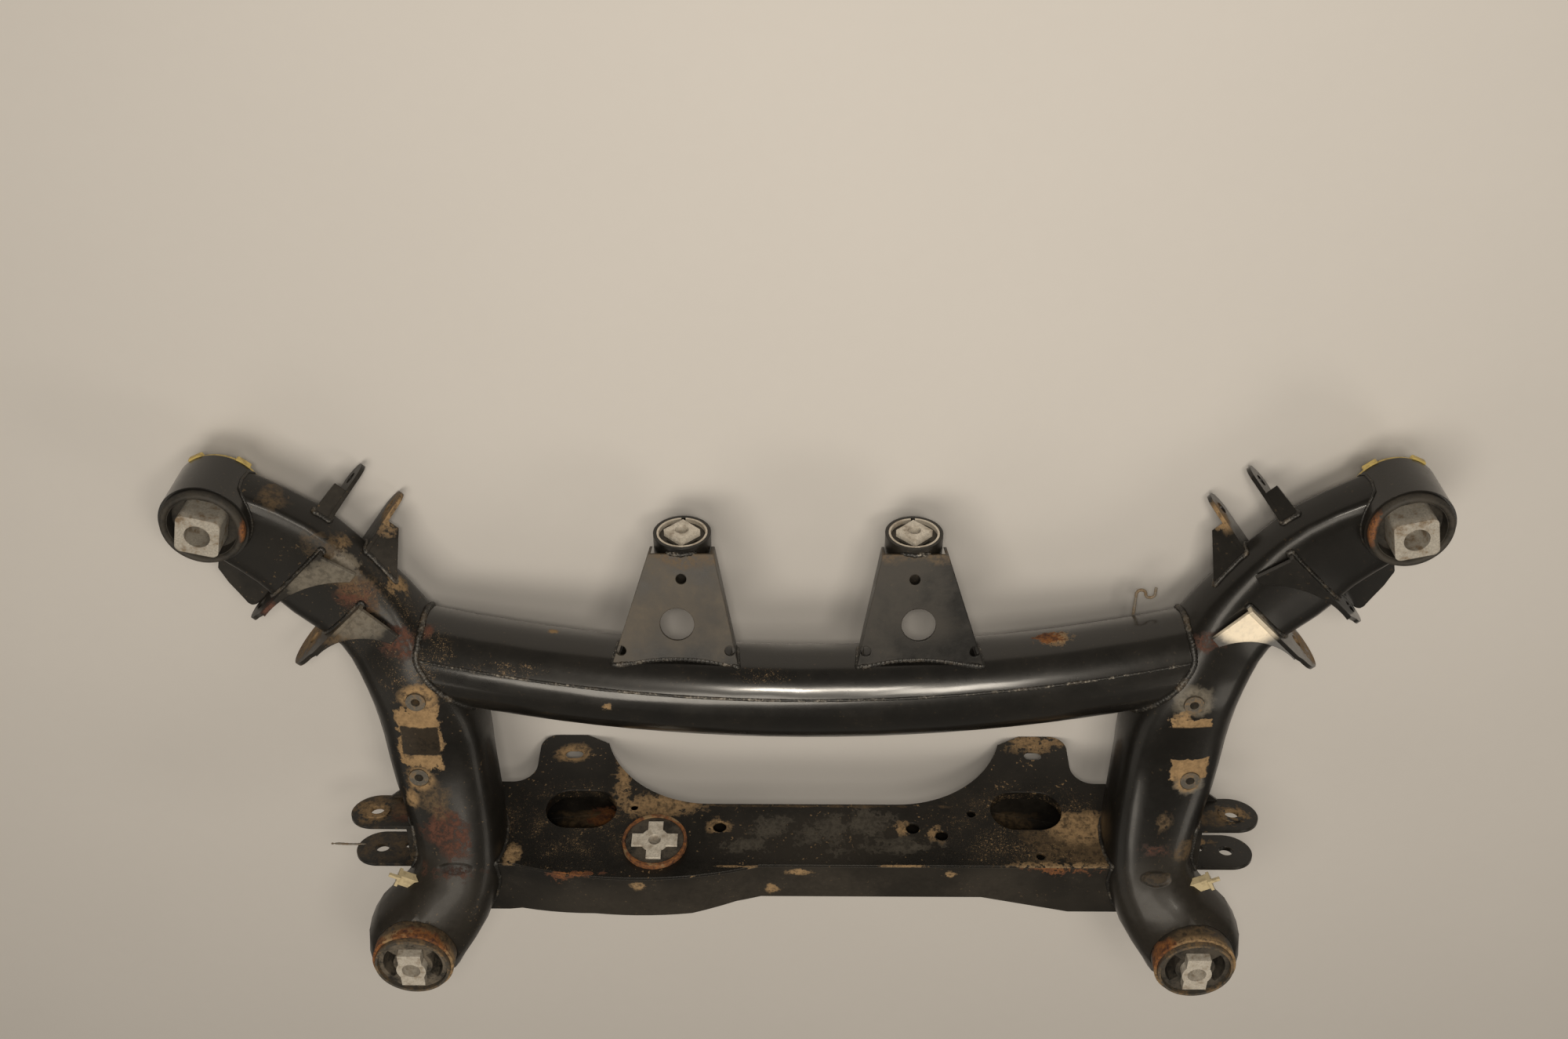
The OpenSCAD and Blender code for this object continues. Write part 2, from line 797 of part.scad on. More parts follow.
// The bracket in plan: full width, or the hollow between its flanges; its foot leans outwards
module bracket_plan(side, inset, over) {
    lower = bracket_l + 40;
    grow = (bracket_base_w - bracket_top_w) / 2 / bracket_l;
    lean = side * bracket_flare / bracket_l;
    half = bracket_top_w / 2 - inset;
    polygon([
        [-half + (grow + lean) * -over, over], [half + (grow - lean) * -over, over],
        [half + (grow + lean) * (lower + over), -lower - over],
        [-half - (grow - lean) * (lower + over), -lower - over]
    ]);
}

foot_r = 190;
module bracket(side) {
    color(steel)
    difference() {
        on_bracket(side)
            difference() {
                translate([0, 0, -bracket_depth]) linear_extrude(bracket_depth) bracket_plan(side, 0, 0);
                translate([0, 0, -bracket_depth - bracket_t])
                    linear_extrude(bracket_depth) bracket_plan(side, bracket_t, past);
                translate([side * bracket_flare * 0.68, -bracket_l * 0.68, -bracket_t - past])
                    cylinder(d = bracket_hole_d, h = bracket_t + 2 * past);
                translate([0, -bracket_l * 0.24, -bracket_t - past])
                    cylinder(d = bracket_pin_d, h = bracket_t + 2 * past);
                // Hollow foot of the plate between the flanges, and the notches at its corners
                translate([side * bracket_flare, -bracket_l - 1 - foot_r, -bracket_t - past])
                    cylinder(r = foot_r, h = bracket_t + 2 * past);
                for (s = [-1, 1])
                    translate([side * bracket_flare + s * (bracket_base_w / 2 - 6), -bracket_l + 6, -bracket_t - past])
                    cylinder(r = bracket_notch_r, h = bracket_t + 2 * past);
            }
        tube_bar(tube_d / 2 + weld_gap);
        at_ring(side) translate([0, 0, -ring_l]) cylinder(d = ring_d + 2 * weld_gap, h = 3 * ring_l);
        // The flanges end in front of the tube's middle
        translate([-front_x, tube_at - tube_d, 0]) cube([2 * front_x, tube_d, 2 * tube_z]);
    }
}

// The ring's axis lies along the car, and z runs from its front edge to the rear
module at_ring(side) {
    translate([bracket_x(side), ring_front, ring_z]) rotate([90, 0, 0]) children();
}
ring_bore = ring_d - 2 * ring_wall;
split_bore = ring_bore - 2 * weld_gap - 2 * split_wall;

module bracket_ring(side) {
    color(steel) at_ring(side) pipe(ring_d, ring_bore, ring_l);
}

module split_sleeve(side) {
    color(aluminium)
    at_ring(side)
    difference() {
        pipe(ring_bore - 2 * weld_gap, split_bore, ring_l);
        translate([-split_gap / 2, -ring_d, -past]) cube([split_gap, ring_d, ring_l + 2 * past]);
    }
}

module diamond(grow) {
    rotate(45) square(ring_core_w + 2 * grow, center = true);
}

module bracket_rubber(side) {
    color(rubber)
    at_ring(side)
    translate([0, 0, 4])
    difference() {
        cylinder(d = split_bore - 2 * weld_gap, h = ring_l - 6);
        translate([0, 0, -past]) linear_extrude(ring_l) diamond(weld_gap);
        // Four grooves between the corners of the core
        for (turn = [0 : 90 : 270])
            rotate(turn + 45)
            translate([ring_core_w / 2 + 2.4, -5, -past])
            cube([2.4, 10, 12]);
    }
}

module bracket_core(side) {
    color(aluminium)
    at_ring(side)
    translate([0, 0, -ring_core_proud])
    difference() {
        linear_extrude(ring_l + ring_core_proud) diamond(0);
        translate([0, 0, -past])
            cylinder(d = ring_bolt_d, h = ring_l + ring_core_proud + 2 * past);
    }
}

// Side clevis: a folded U of two plates and a web against the member, x outwards, z along the bolt

module at_clevis(side) {
    on_side(side)
    translate([clevis_x, clevis_y + mid_y, clevis_z])
    rotate([90 - clevis_rise, 0, 0])
    children();
}
clevis_root = 60;
clevis_web_x = -38;
clevis_flange = 14;
clevis_from = 19;
clevis_to = 26;

module clevis_plate_outline() {
    circle(clevis_end_r);
    translate([-clevis_root, -clevis_end_r]) square([clevis_root, 2 * clevis_end_r]);
}

module side_clevis(side) {
    span = clevis_gap + 2 * clevis_t;
    color(steel)
    difference() {
        at_clevis(side)
            difference() {
                union() {
                    for (s = [-1, 1])
                        translate([0, 0, s * (clevis_gap + clevis_t) / 2 - clevis_t / 2])
                        linear_extrude(clevis_t)
                        clevis_plate_outline();
                    for (s = [-1, 1])
                        translate([0, 0, s * (span + clevis_rim_h) / 2 - clevis_rim_h / 2])
                        cylinder(d = clevis_rim_d, h = clevis_rim_h);
                    translate([-clevis_root, -clevis_end_r, -span / 2])
                        cube([clevis_root + clevis_web_x + clevis_t, 2 * clevis_end_r, span]);
                    // Flange turned forwards along the lower edge of the front plate
                    translate([0, -clevis_end_r, -span / 2])
                        rotate([-90, 0, 0])
                        linear_extrude(clevis_t)
                        polygon([[-clevis_root, -1], [-8, -1], [-8, 0], [-26, clevis_flange],
                            [-clevis_root, clevis_flange]]);
                }
                translate([0, 0, -span])
                    cylinder(d = clevis_bolt_d, h = 2 * span);
                translate([-27, -4, 0]) cylinder(d = clevis_small_d, h = span);
            }
        on_side(side) member_core(clevis_from, clevis_to);
    }
}

// Stabiliser nuts: tapped bosses in the member's upper face

// Places a child at each nut on the right member: z points up out of the sloping face
nut_middle = 5.05;
nut_out = 8;
nut_turn = 4.2;
module nut_places() {
    here = station(nut_middle);
    rise = atan2(member_top(nut_middle + 0.5) - member_top(nut_middle - 0.5),
        station(nut_middle - 0.5).y - station(nut_middle + 0.5).y);
    translate([here.x + nut_out, here.y, member_top(nut_middle) - 0.5])
        rotate([0, 0, nut_turn])
        rotate([-rise, 0, 0])
        for (s = [-1, 1]) translate([0, s * nut_span / 2, 0]) children();
}

module stabiliser_nuts(side) {
    color(bare_steel)
    on_side(side)
    nut_places()
    translate([0, 0, nut_proud - nut_h])
    pipe(nut_d, nut_bore_d, nut_h);
}

// Link ears and fingers on the arm: x points forwards and inwards along the plate, y along the bolt

module on_link(side) {
    on_side(side)
    translate([link_at.x, link_at.y, 0])
    rotate(90 + link_angle - 1.6)
    children();
}
link_from = 2;
link_to = 11;
// Middle of the ears and of the fingers along the bolt
ear_middle = 5;
finger_middle = -12;
// Underside of the sheet folded over from the outer ear, on the arm's upper face
fold_z = arm_z + 2 + arm_h / 2 + 2 + 1.5;

// Plate of a rear ear, in the plane across the bolt
module ear_outline(end_r, top, root) {
    difference() {
        union() {
            translate([-ear_reach, ear_bolt_z]) circle(end_r);
            polygon([
                [-ear_reach, ear_bolt_z - end_r], [root, ear_bolt_z - end_r], [root, top],
                [-ear_reach + 12, top], [-ear_reach - end_r * 0.55, ear_bolt_z + end_r * 0.75],
                [-ear_reach, ear_bolt_z]
            ]);
        }
        translate([-ear_reach, ear_bolt_z]) circle(d = link_bolt_d);
    }
}

// Sheet folded over from the ear's upper edge: three-cornered, with a hollow free edge
fold_hollow = 11;
module ear_fold(root, width) {
    inner = [root - 6, width];
    tip = [-ear_reach + 10, link_t + 1];
    chord = norm(inner - tip);
    radius = chord * chord / 8 / fold_hollow + fold_hollow / 2;
    away = [tip.y - inner.y, inner.x - tip.x] / chord;
    difference() {
        polygon([[root - 2, 0], [root + width / 8, width], inner + away, tip + away, [tip.x, 0]]);
        translate((inner + tip) / 2 + away * (radius - fold_hollow)) circle(radius);
    }
}

module link_ear(side, place, end_r, root, fold_w, fold_slope, fold_base) {
    color(steel)
    difference() {
        on_link(side)
            translate([0, place, 0]) {
                rotate([90, 0, 0]) linear_extrude(link_t, center = true)
                    ear_outline(end_r, fold_base + link_t + (fold_slope > 0 ? 3 : 0), root);
                translate([0, fold_slope > 0 ? 0 : -link_t / 2, fold_base])
                    rotate([fold_slope, 0, 0])
                    linear_extrude(link_t)
                    ear_fold(root, fold_w);
            }
        on_side(side) member_core(link_from, link_to);
    }
}

module outer_ear(side) {
    link_ear(side, ear_middle - (ear_gap + link_t) / 2, outer_ear_r, 38, outer_fold_w, 0, fold_z);
}
module inner_ear(side) {
    link_ear(side, ear_middle + (ear_gap + link_t) / 2, inner_ear_r, 20, inner_fold_w,
        inner_fold_slope, fold_z + 6);
}

// Plate of a front finger; its round end is the point that the subframe rests on
module finger_outline(base_w) {
    difference() {
        union() {
            translate([finger_reach, finger_end_r]) circle(finger_end_r);
            polygon([
                [finger_reach + finger_end_r * 0.72, finger_end_r * 1.69],
                [finger_reach - finger_end_r * 0.72, finger_end_r * 0.31],
                [34 - base_w / 2, arm_z - arm_h / 4],
                [40, arm_z + arm_h / 4]
            ]);
        }
        translate([finger_reach, finger_end_r]) circle(d = link_bolt_d);
    }
}

// Lip folded over along the finger's forward edge, wider at the arm than at the tip
module finger_lip(base_w, tip_w) {
    foot = [40, arm_z + arm_h / 4];
    edge = [finger_reach + finger_end_r * 0.72, finger_end_r * 1.69] - foot;
    translate([foot.x, 0, foot.y])
    rotate([0, -atan2(edge.y, edge.x), 0])
    translate([0, 0, -link_t - 0.5])
    linear_extrude(link_t)
    polygon([[0, 0], [norm(edge) - 16, 0], [norm(edge) - 16, tip_w], [0, base_w]]);
}

module link_finger(side, place, root_w, lip_base_w, lip_tip_w, lip_side) {
    color(steel)
    difference() {
        on_link(side)
            translate([0, place, 0]) {
                rotate([90, 0, 0]) linear_extrude(link_t, center = true) finger_outline(root_w);
                mirror([0, lip_side > 0 ? 0 : 1, 0])
                    finger_lip(lip_base_w, lip_tip_w);
            }
        on_side(side) member_core(link_from, link_to);
    }
}

module outer_finger(side) {
    link_finger(side, finger_middle - (finger_gap + link_t) / 2, 20, finger_lip_w + 3, finger_lip_w, -1);
}
module inner_finger(side) {
    link_finger(side, finger_middle + (finger_gap + link_t) / 2, 56, inner_lip_w, finger_lip_w, 1);
}

// Slanting tab on the outside of the arm, between the front mount and the outer ear
tab_z = arm_z - 7;
tab_outline = [[-40, -84], [-76, -83], [-81, -59], [-90, -33], [-74, -34], [-62, -36], [-40, -36]];
module arm_tab(side) {
    color(steel)
    difference() {
        on_link(side)
            translate([0, 0, tab_z])
            linear_extrude(link_t)
            polygon(tab_outline);
        on_side(side) member_core(0, 8);
    }
}

// Broken plastic clip on the outer side of the leg
clip_at = 7.8;
clip_stem = 10;
module leg_clip(side) {
    here = station(clip_at);
    out = heading(clip_at);
    color(beige)
    difference() {
        on_side(side)
            translate([here.x, here.y, here.z + here[4] * 0.2])
            rotate(atan2(out.x, -out.y)) {
                translate([0, -clip_w / 2, -4]) cube([here[3] / 2 + clip_stem, clip_w, 8]);
                translate([here[3] / 2 + clip_stem, -clip_w / 2, -6]) cube([3, clip_w, 13]);
                translate([here[3] / 2 + clip_stem, clip_w / 2 - 3, 4]) cube([12, 3, 3]);
            }
        on_side(side) member_core(20, 27);
    }
}

// Wire clip hooked under the cross tube on the right: a pin with a double bend
wire_at = [front_x - 220, tube_at + 78, tube_z - 52];
wire_bend_r = 4.5;
module wire_clip() {
    color(rust)
    difference() {
        translate(wire_at) {
            translate([-wire_bend_r, 0, 0]) rotate([90, 0, 0]) cylinder(d = wire_d, h = 45);
            rotate_extrude(angle = 180) translate([wire_bend_r, 0]) circle(d = wire_d);
            translate([2 * wire_bend_r, 0, 0])
                rotate(180)
                rotate_extrude(angle = 180)
                translate([wire_bend_r, 0])
                circle(d = wire_d);
            translate([3 * wire_bend_r, 0, 0]) rotate([-90, 0, 0]) cylinder(d = wire_d, h = 7);
        }
        tube_bar(tube_d / 2 + weld_gap);
    }
}

// Drawing

front_cross_tube();
member(-1);  // left_side_member
member(1);  // right_side_member
front_housing(-1);  // left_front_housing
front_housing(1);  // right_front_housing
front_rubber(-1);  // left_front_rubber
front_rubber(1);  // right_front_rubber
front_core(-1);  // left_front_core
front_core(1);  // right_front_core
front_collar(-1);  // left_front_collar
front_collar(1);  // right_front_collar
rear_collar(-1);  // left_rear_collar
rear_collar(1);  // right_rear_collar
rear_shell(-1);  // left_rear_shell
rear_shell(1);  // right_rear_shell
rear_rubber(-1);  // left_rear_rubber
rear_rubber(1);  // right_rear_rubber
rear_core(-1);  // left_rear_core
rear_core(1);  // right_rear_core
crossmember_front_plate();
crossmember_pan();
rear_bush_sleeve();
rear_bush_rubber();
rear_bush_core();
bracket(-1);  // left_bracket
bracket(1);  // right_bracket
bracket_ring(-1);  // left_bracket_ring
bracket_ring(1);  // right_bracket_ring
split_sleeve(-1);  // left_split_sleeve
split_sleeve(1);  // right_split_sleeve
bracket_rubber(-1);  // left_bracket_rubber
bracket_rubber(1);  // right_bracket_rubber
bracket_core(-1);  // left_bracket_core
bracket_core(1);  // right_bracket_core
side_clevis(-1);  // left_side_clevis
side_clevis(1);  // right_side_clevis
stabiliser_nuts(-1);  // left_stabiliser_nuts
stabiliser_nuts(1);  // right_stabiliser_nuts
outer_ear(-1);  // left_outer_ear
outer_ear(1);  // right_outer_ear
inner_ear(-1);  // left_inner_ear
inner_ear(1);  // right_inner_ear
outer_finger(-1);  // left_outer_finger
outer_finger(1);  // right_outer_finger
inner_finger(-1);  // left_inner_finger
inner_finger(1);  // right_inner_finger
arm_tab(-1);  // left_arm_tab
arm_tab(1);  // right_arm_tab
leg_clip(-1);  // left_leg_clip
leg_clip(1);  // right_leg_clip
wire_clip();
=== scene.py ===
import math

import bmesh
import bpy
from mathutils import Matrix, Vector, noise
from mathutils.bvhtree import BVHTree


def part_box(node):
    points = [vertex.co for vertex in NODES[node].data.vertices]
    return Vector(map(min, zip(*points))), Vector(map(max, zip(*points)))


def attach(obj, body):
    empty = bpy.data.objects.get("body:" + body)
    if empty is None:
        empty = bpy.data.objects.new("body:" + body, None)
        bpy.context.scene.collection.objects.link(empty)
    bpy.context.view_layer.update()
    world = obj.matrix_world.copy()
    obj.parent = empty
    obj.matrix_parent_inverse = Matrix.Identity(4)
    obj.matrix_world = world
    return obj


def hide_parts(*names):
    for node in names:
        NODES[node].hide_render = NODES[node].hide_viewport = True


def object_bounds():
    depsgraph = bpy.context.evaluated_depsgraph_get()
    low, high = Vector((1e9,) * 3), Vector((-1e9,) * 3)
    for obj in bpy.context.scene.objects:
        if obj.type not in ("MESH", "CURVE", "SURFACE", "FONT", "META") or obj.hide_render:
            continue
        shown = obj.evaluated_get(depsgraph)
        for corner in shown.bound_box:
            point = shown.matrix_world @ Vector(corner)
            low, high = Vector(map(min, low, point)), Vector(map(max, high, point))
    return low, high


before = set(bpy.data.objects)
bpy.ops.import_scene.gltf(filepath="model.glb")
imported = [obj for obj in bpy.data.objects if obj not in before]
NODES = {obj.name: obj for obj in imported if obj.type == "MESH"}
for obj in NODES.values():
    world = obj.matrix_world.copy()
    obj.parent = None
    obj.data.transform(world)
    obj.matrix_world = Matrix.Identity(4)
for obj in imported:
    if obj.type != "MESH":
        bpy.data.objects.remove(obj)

bl_info = {
    "name": "Rear subframe finish",
    "version": (1, 0, 0),
    "blender": (4, 5, 0),
    "location": "View3D > Sidebar > Subframe",
    "description": "Paint, rust, dirt, weld beads and studio for a welded rear subframe",
    "category": "Object",
}

CAD_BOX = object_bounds()
SIDES = ("left", "right")
LINK_PLATES = ("outer_ear", "inner_ear", "outer_finger", "inner_finger", "arm_tab")
# Millimetres in a metre
MM = 1000


# Settings


def colour_setting(name, description, default):
    return bpy.props.FloatVectorProperty(
        name=name, description=description, default=default, size=3, min=0.0, max=1.0, subtype="COLOR"
    )


def length_setting(name, description, default, top):
    return bpy.props.FloatProperty(
        name=name, description=description, default=default, min=0.0, max=top,
        unit="LENGTH", subtype="DISTANCE",
    )


class SubframePaint(bpy.types.PropertyGroup):
    """Colours of the paint, dirt and rust, bare steel with its painted glint, and the rounding of painted
    edges
    """

    paint: colour_setting("Paint", "Black chassis paint", (0.0062, 0.0057, 0.0049))
    haze: colour_setting("Haze", "Dry road film on the paint", (0.054, 0.045, 0.034))
    mud: colour_setting("Mud", "Dried tan mud", (0.310, 0.205, 0.105))
    rust: colour_setting("Rust", "Fresh orange rust", (0.270, 0.105, 0.028))
    old_rust: colour_setting("Old rust", "Old red-brown rust", (0.068, 0.029, 0.019))
    # Near white, brighter than bare steel: bare metal with a painted glint; darkened, it also gives the grey
    # smears and scuffs
    bare_and_glint: colour_setting("Bare steel", "Steel where the paint has gone", (0.90, 0.80, 0.64))
    edge: length_setting("Edge radius", "Rounding of the pressed edges", 0.0012, 0.01)


class SubframeMounts(bpy.types.PropertyGroup):
    """Colours of the bushes, cores and plastic pieces"""

    rubber: colour_setting("Rubber", "Bush rubber", (0.016, 0.0145, 0.012))
    aluminium: colour_setting("Aluminium", "Cast cores of the bushes", (0.50, 0.465, 0.405))
    steel: colour_setting("Steel", "Turned steel of sleeves and nuts", (0.42, 0.385, 0.33))
    yellow: colour_setting("Yellow plastic", "Stop rings under the front mounts", (0.58, 0.44, 0.14))
    beige: colour_setting("Beige plastic", "Broken line clips", (0.56, 0.47, 0.29))


class SubframeWelds(bpy.types.PropertyGroup):
    """Sizes of the weld beads"""

    bead: length_setting("Bead radius", "Radius of the plate welds", 0.0024, 0.01)
    saddle: length_setting(
        "Saddle bead radius", "Radius of the welds round the cross tube's ends", 0.0034, 0.01
    )
    pitch: length_setting("Ripple pitch", "Distance between two ripples of a bead", 0.0031, 0.02)
    seam: length_setting("Seam radius", "Radius of the cross tube's long seam", 0.0015, 0.01)
    seam_turn: bpy.props.FloatProperty(
        name="Seam turn", description="Turn of the seam from the front of the tube",
        default=math.radians(62), min=0.0, max=math.pi, subtype="ANGLE",
    )


class SubframeStage(bpy.types.PropertyGroup):
    """Floor, light and camera"""

    floor: colour_setting("Floor", "Pale floor", (0.60, 0.580, 0.560))
    focal: bpy.props.FloatProperty(
        name="Focal length", description="Focal length on a 36 mm wide frame, in millimetres",
        default=36.115, min=10.0, max=200.0,
    )
    light: bpy.props.FloatProperty(
        name="Light", description="Power that every lamp takes its share of",
        default=30.0, min=0.0, max=500.0, unit="POWER",
    )


def settings(group):
    return getattr(bpy.context.scene, "subframe_" + group)


# Shader expressions


# Where a stain thins out, as shares of its reach
STAIN_RIM = (1.1, 0.65)
BLOCK_RIM = (1.02, 0.92)
COAT_ROUGHNESS = 0.15


class Value:
    """A socket that takes part in Python arithmetic; every step adds a Math node"""

    def __init__(self, finish, socket):
        self.finish = finish
        self.socket = socket

    def calc(self, operation, first, second):
        return self.finish.node("ShaderNodeMath", {"operation": operation}, {0: first, 1: second})

    def __add__(self, other):
        return self.calc("ADD", self, other)

    def __radd__(self, other):
        return self.calc("ADD", other, self)

    def __sub__(self, other):
        return self.calc("SUBTRACT", self, other)

    def __rsub__(self, other):
        return self.calc("SUBTRACT", other, self)

    def __mul__(self, other):
        return self.calc("MULTIPLY", self, other)

    def __rmul__(self, other):
        return self.calc("MULTIPLY", other, self)

    def __or__(self, other):
        return self.calc("MAXIMUM", self, other)

    def __and__(self, other):
        return self.calc("MINIMUM", self, other)

    def ramp(self, start, end):
        """Smooth step from 0 at start to 1 at end, rising or falling"""
        low, high = 0.0, 1.0
        if start > end:
            start, end, low, high = end, start, high, low
        return self.finish.node(
            "ShaderNodeMapRange", {"interpolation_type": "SMOOTHSTEP"},
            {"Value": self, "From Min": start, "From Max": end, "To Min": low, "To Max": high},
        )


class Finish:
    """One node material, laid out in the part's own metres"""

    def __init__(self, name):
        self.material = bpy.data.materials.new(name)
        self.material.use_nodes = True
        self.tree = self.material.node_tree
        self.tree.nodes.clear()
        self.place = self.node("ShaderNodeTexCoord", output="Object")

    def node(self, kind, settings=None, inputs=None, output=0):
        """Add a node, set it up and fill its sockets; the result is one of its outputs"""
        made = self.tree.nodes.new(kind)
        for key, value in (settings or {}).items():
            setattr(made, key, value)
        for key, value in (inputs or {}).items():
            if isinstance(value, Value):
                self.tree.links.new(value.socket, made.inputs[key])
            else:
                made.inputs[key].default_value = value
        return Value(self, made.outputs[output]) if len(made.outputs) else None

    def vector(self, operation, first, second=(0, 0, 0), output=0):
        return self.node("ShaderNodeVectorMath", {"operation": operation}, {0: first, 1: second}, output)

    def noise(self, scale, detail=4.0, rough=0.55, warp=0.0):
        return self.node(
            "ShaderNodeTexNoise", None,
            {"Vector": self.place, "Scale": scale, "Detail": detail, "Roughness": rough, "Distortion": warp},
        )

    def mix(self, share, first, second):
        rgba = [(*c, 1.0) if not isinstance(c, Value) else c for c in (first, second)]
        return self.node(
            "ShaderNodeMix", {"data_type": "RGBA"}, {0: share, 6: rgba[0], 7: rgba[1]}, 2
        )

    def patch(self, mark, ragged, square=False):
        """Share of one stain: 1 inside its ellipsoid or block, frayed by the ragged field at its rim"""
        middle, size, wildness, *turn = mark
        offset = self.vector("SUBTRACT", self.place, [c / MM for c in middle])
        if turn:
            offset = self.node(
                "ShaderNodeVectorRotate", {"rotation_type": "Z_AXIS"}, {"Vector": offset, "Angle": turn[0]}
            )
        reach = self.vector("DIVIDE", offset, [r / MM for r in size])
        if square:
            sides = self.vector("ABSOLUTE", reach)
            x, y, z = (self.node("ShaderNodeSeparateXYZ", None, {0: sides}, k) for k in range(3))
            return ((x | y | z) + ragged * wildness).ramp(*BLOCK_RIM)
        far = self.vector("LENGTH", reach, output="Value")
        return (far + ragged * wildness).ramp(*STAIN_RIM)

    def patches(self, marks, ragged, square=False):
        """The strongest of several stains"""
        whole = None
        for mark in marks:
            one = self.patch(mark, ragged, square)
            whole = one if whole is None else whole | one
        return whole

    def surface(
        self, colour, rough, height, metal=0.0, coat=0.0, radius=0.0012, distance=0.0006,
        strength=0.6, shine=0.5,
    ):
        """Principled surface with rounded edges and a height field"""
        rounded = self.node("ShaderNodeBevel", {"samples": 4}, {"Radius": radius})
        bumped = self.node(
            "ShaderNodeBump", None,
            {"Strength": strength, "Distance": distance, "Height": height, "Normal": rounded},
        )
        return self.shade({
            "Base Color": colour, "Roughness": rough, "Metallic": metal, "Normal": bumped,
            "Specular IOR Level": shine, "Coat Weight": coat, "Coat Roughness": COAT_ROUGHNESS,
        })

    def shade(self, inputs):
        """End the material in a Principled shader with these inputs"""
        shader = self.node("ShaderNodeBsdfPrincipled", None, inputs)
        self.node("ShaderNodeOutputMaterial", None, {"Surface": shader})
        return self.material


def dark(colour, share):
    return tuple(c * share for c in colour)


def ragged_field(blotch, grain):
    """Noise round nought that frays the rims of stains"""
    return (blotch - 0.5) * 5.0 + (grain - 0.5) * 4.0


def painted_steel(name, marks, haze, specks, rough, sheen_lift=1.0, coat=0.0):
    """Black chassis paint with road film, stone chips and the listed marks; painted sheen, shade and glint
    are among them
    """
    tones = settings("paint")
    finish = Finish(name)
    cloud = finish.noise(9.0, 3.0)
    blotch = finish.noise(38.0, 5.0, 0.6)
    grain = finish.noise(190.0, 5.0, 0.65)
    fine = finish.noise(900.0, 2.0)
    ragged = ragged_field(blotch, grain)

    film = (cloud * 0.6 + blotch * 0.4).ramp(0.36, 0.66) * (0.35 + grain * 0.9) * haze
    paint = finish.mix(cloud, dark(tones.paint, 0.8), dark(tones.paint, 1.25))
    # sheen_lift scales the road-film colour; above one it lightens the film into a painted sheen
    colour = finish.mix(film, paint, dark(tones.haze, sheen_lift))
    shine = rough + film * 0.35 + (grain - 0.5) * 0.14 + (blotch - 0.5) * 0.12
    height = fine * 0.10 + grain * 0.12
    metal = 0.0
    dirty = film * 1.5 & 1.0

    chips = finish.noise(330.0, 2.5, 0.5)
    chipped = (chips + (blotch - 0.5) * 0.45).ramp(0.69, 0.73) * specks
    colour = finish.mix(chipped, colour, dark(tones.mud, 0.9))
    shine = shine + chipped * 0.35

    def lay(share, tone, stain_rough):
        """Cover the paint with a stain of this colour and roughness"""
        nonlocal colour, dirty, shine
        colour = finish.mix(share, colour, tone)
        dirty = dirty | share
        shine = shine + share * (stain_rough - shine)

    groups = {}
    for kind, *mark in marks:
        groups.setdefault(kind, []).append(mark)
    if "film" in groups:
        share = finish.patches(groups["film"], ragged * 0.5) * (0.12 + grain * 0.26)
        lay(share, tones.haze, 0.6)
    if "smear" in groups:
        share = finish.patches(groups["smear"], ragged) * (0.25 + grain.ramp(0.35, 0.6) * 0.5)
        lay(share, dark(tones.bare_and_glint, 0.10), 0.5)
    if "red" in groups:
        share = finish.patches(groups["red"], ragged) * (0.35 + grain.ramp(0.36, 0.56) * 0.65)
        tone = finish.mix(grain.ramp(0.35, 0.65), dark(tones.old_rust, 0.55), dark(tones.old_rust, 1.5))
        lay(share, tone, 0.78)
        height = height + share * grain * 0.5
    if "brown" in groups:
        share = finish.patches(groups["brown"], ragged) * (0.15 + grain.ramp(0.38, 0.6) * 0.5)
        lay(share, dark(tones.mud, 0.45), 0.7)
    if "scuff" in groups:
        share = finish.patches(groups["scuff"], ragged) * (0.45 + grain.ramp(0.35, 0.6) * 0.4)
        lay(share, dark(tones.bare_and_glint, 0.20), 0.42)
    if "spatter" in groups:
        drops = finish.noise(640.0, 3.0, 0.6, 1.5)
        drops = (drops + (blotch - 0.5) * 0.5).ramp(0.60, 0.68)
        lay(finish.patches(groups["spatter"], ragged) * drops * 0.8, dark(tones.mud, 0.9), 0.7)
    # Bare patches in a near-white tone: bare steel carrying a painted glint
    if "bare_and_glint" in groups:
        share = finish.patches(groups["bare_and_glint"], ragged)
        share = share * (0.75 + (grain * 0.6 + blotch * 0.4).ramp(0.34, 0.46) * 0.25)
        tone = finish.mix(grain.ramp(0.3, 0.6), dark(tones.bare_and_glint, 0.88), tones.bare_and_glint)
        lay(share, tone, 0.42)
        metal = share * 0.45
        height = height + share * (grain * -0.4)
    if "mud" in groups:
        share = finish.patches(groups["mud"], ragged)
        share = share * (0.3 + (grain * 0.6 + blotch * 0.4).ramp(0.37, 0.53) * 0.7)
        if "pad" in groups:
            caked = finish.patches(groups["pad"], ragged, True)
            share = share | caked * (0.62 + (grain * 0.5 + blotch * 0.5).ramp(0.38, 0.46) * 0.38)
        if "clean" in groups:
            share = share * (1.0 - finish.patches(groups["clean"], ragged, True) * 0.93)
        tone = finish.mix(grain.ramp(0.3, 0.7), dark(tones.mud, 0.68), dark(tones.mud, 1.06))
        lay(share, tone, 0.88)
        height = height + share * (0.25 + grain * 0.8)
    if "rust" in groups:
        share = finish.patches(groups["rust"], ragged)
        tone = finish.mix(grain.ramp(0.3, 0.68), dark(tones.old_rust, 0.9), tones.rust)
        lay(share, tone, 0.85)
        height = height + share * grain * 0.9
    # Dents sink the height field and are darkened inside as painted shade
    if "shaded_dent" in groups:
        share = finish.patches(groups["shaded_dent"], ragged * 0.1)
        colour = finish.mix(share * 0.6, colour, dark(tones.paint, 0.5))
        height = height - share * 4.0

    gloss = (1.0 - dirty) * coat if coat else 0.0
    level = 0.25 + coat * 0.08 if coat else 0.4
    return finish.surface(colour, shine, height, metal, gloss, tones.edge, shine=level)


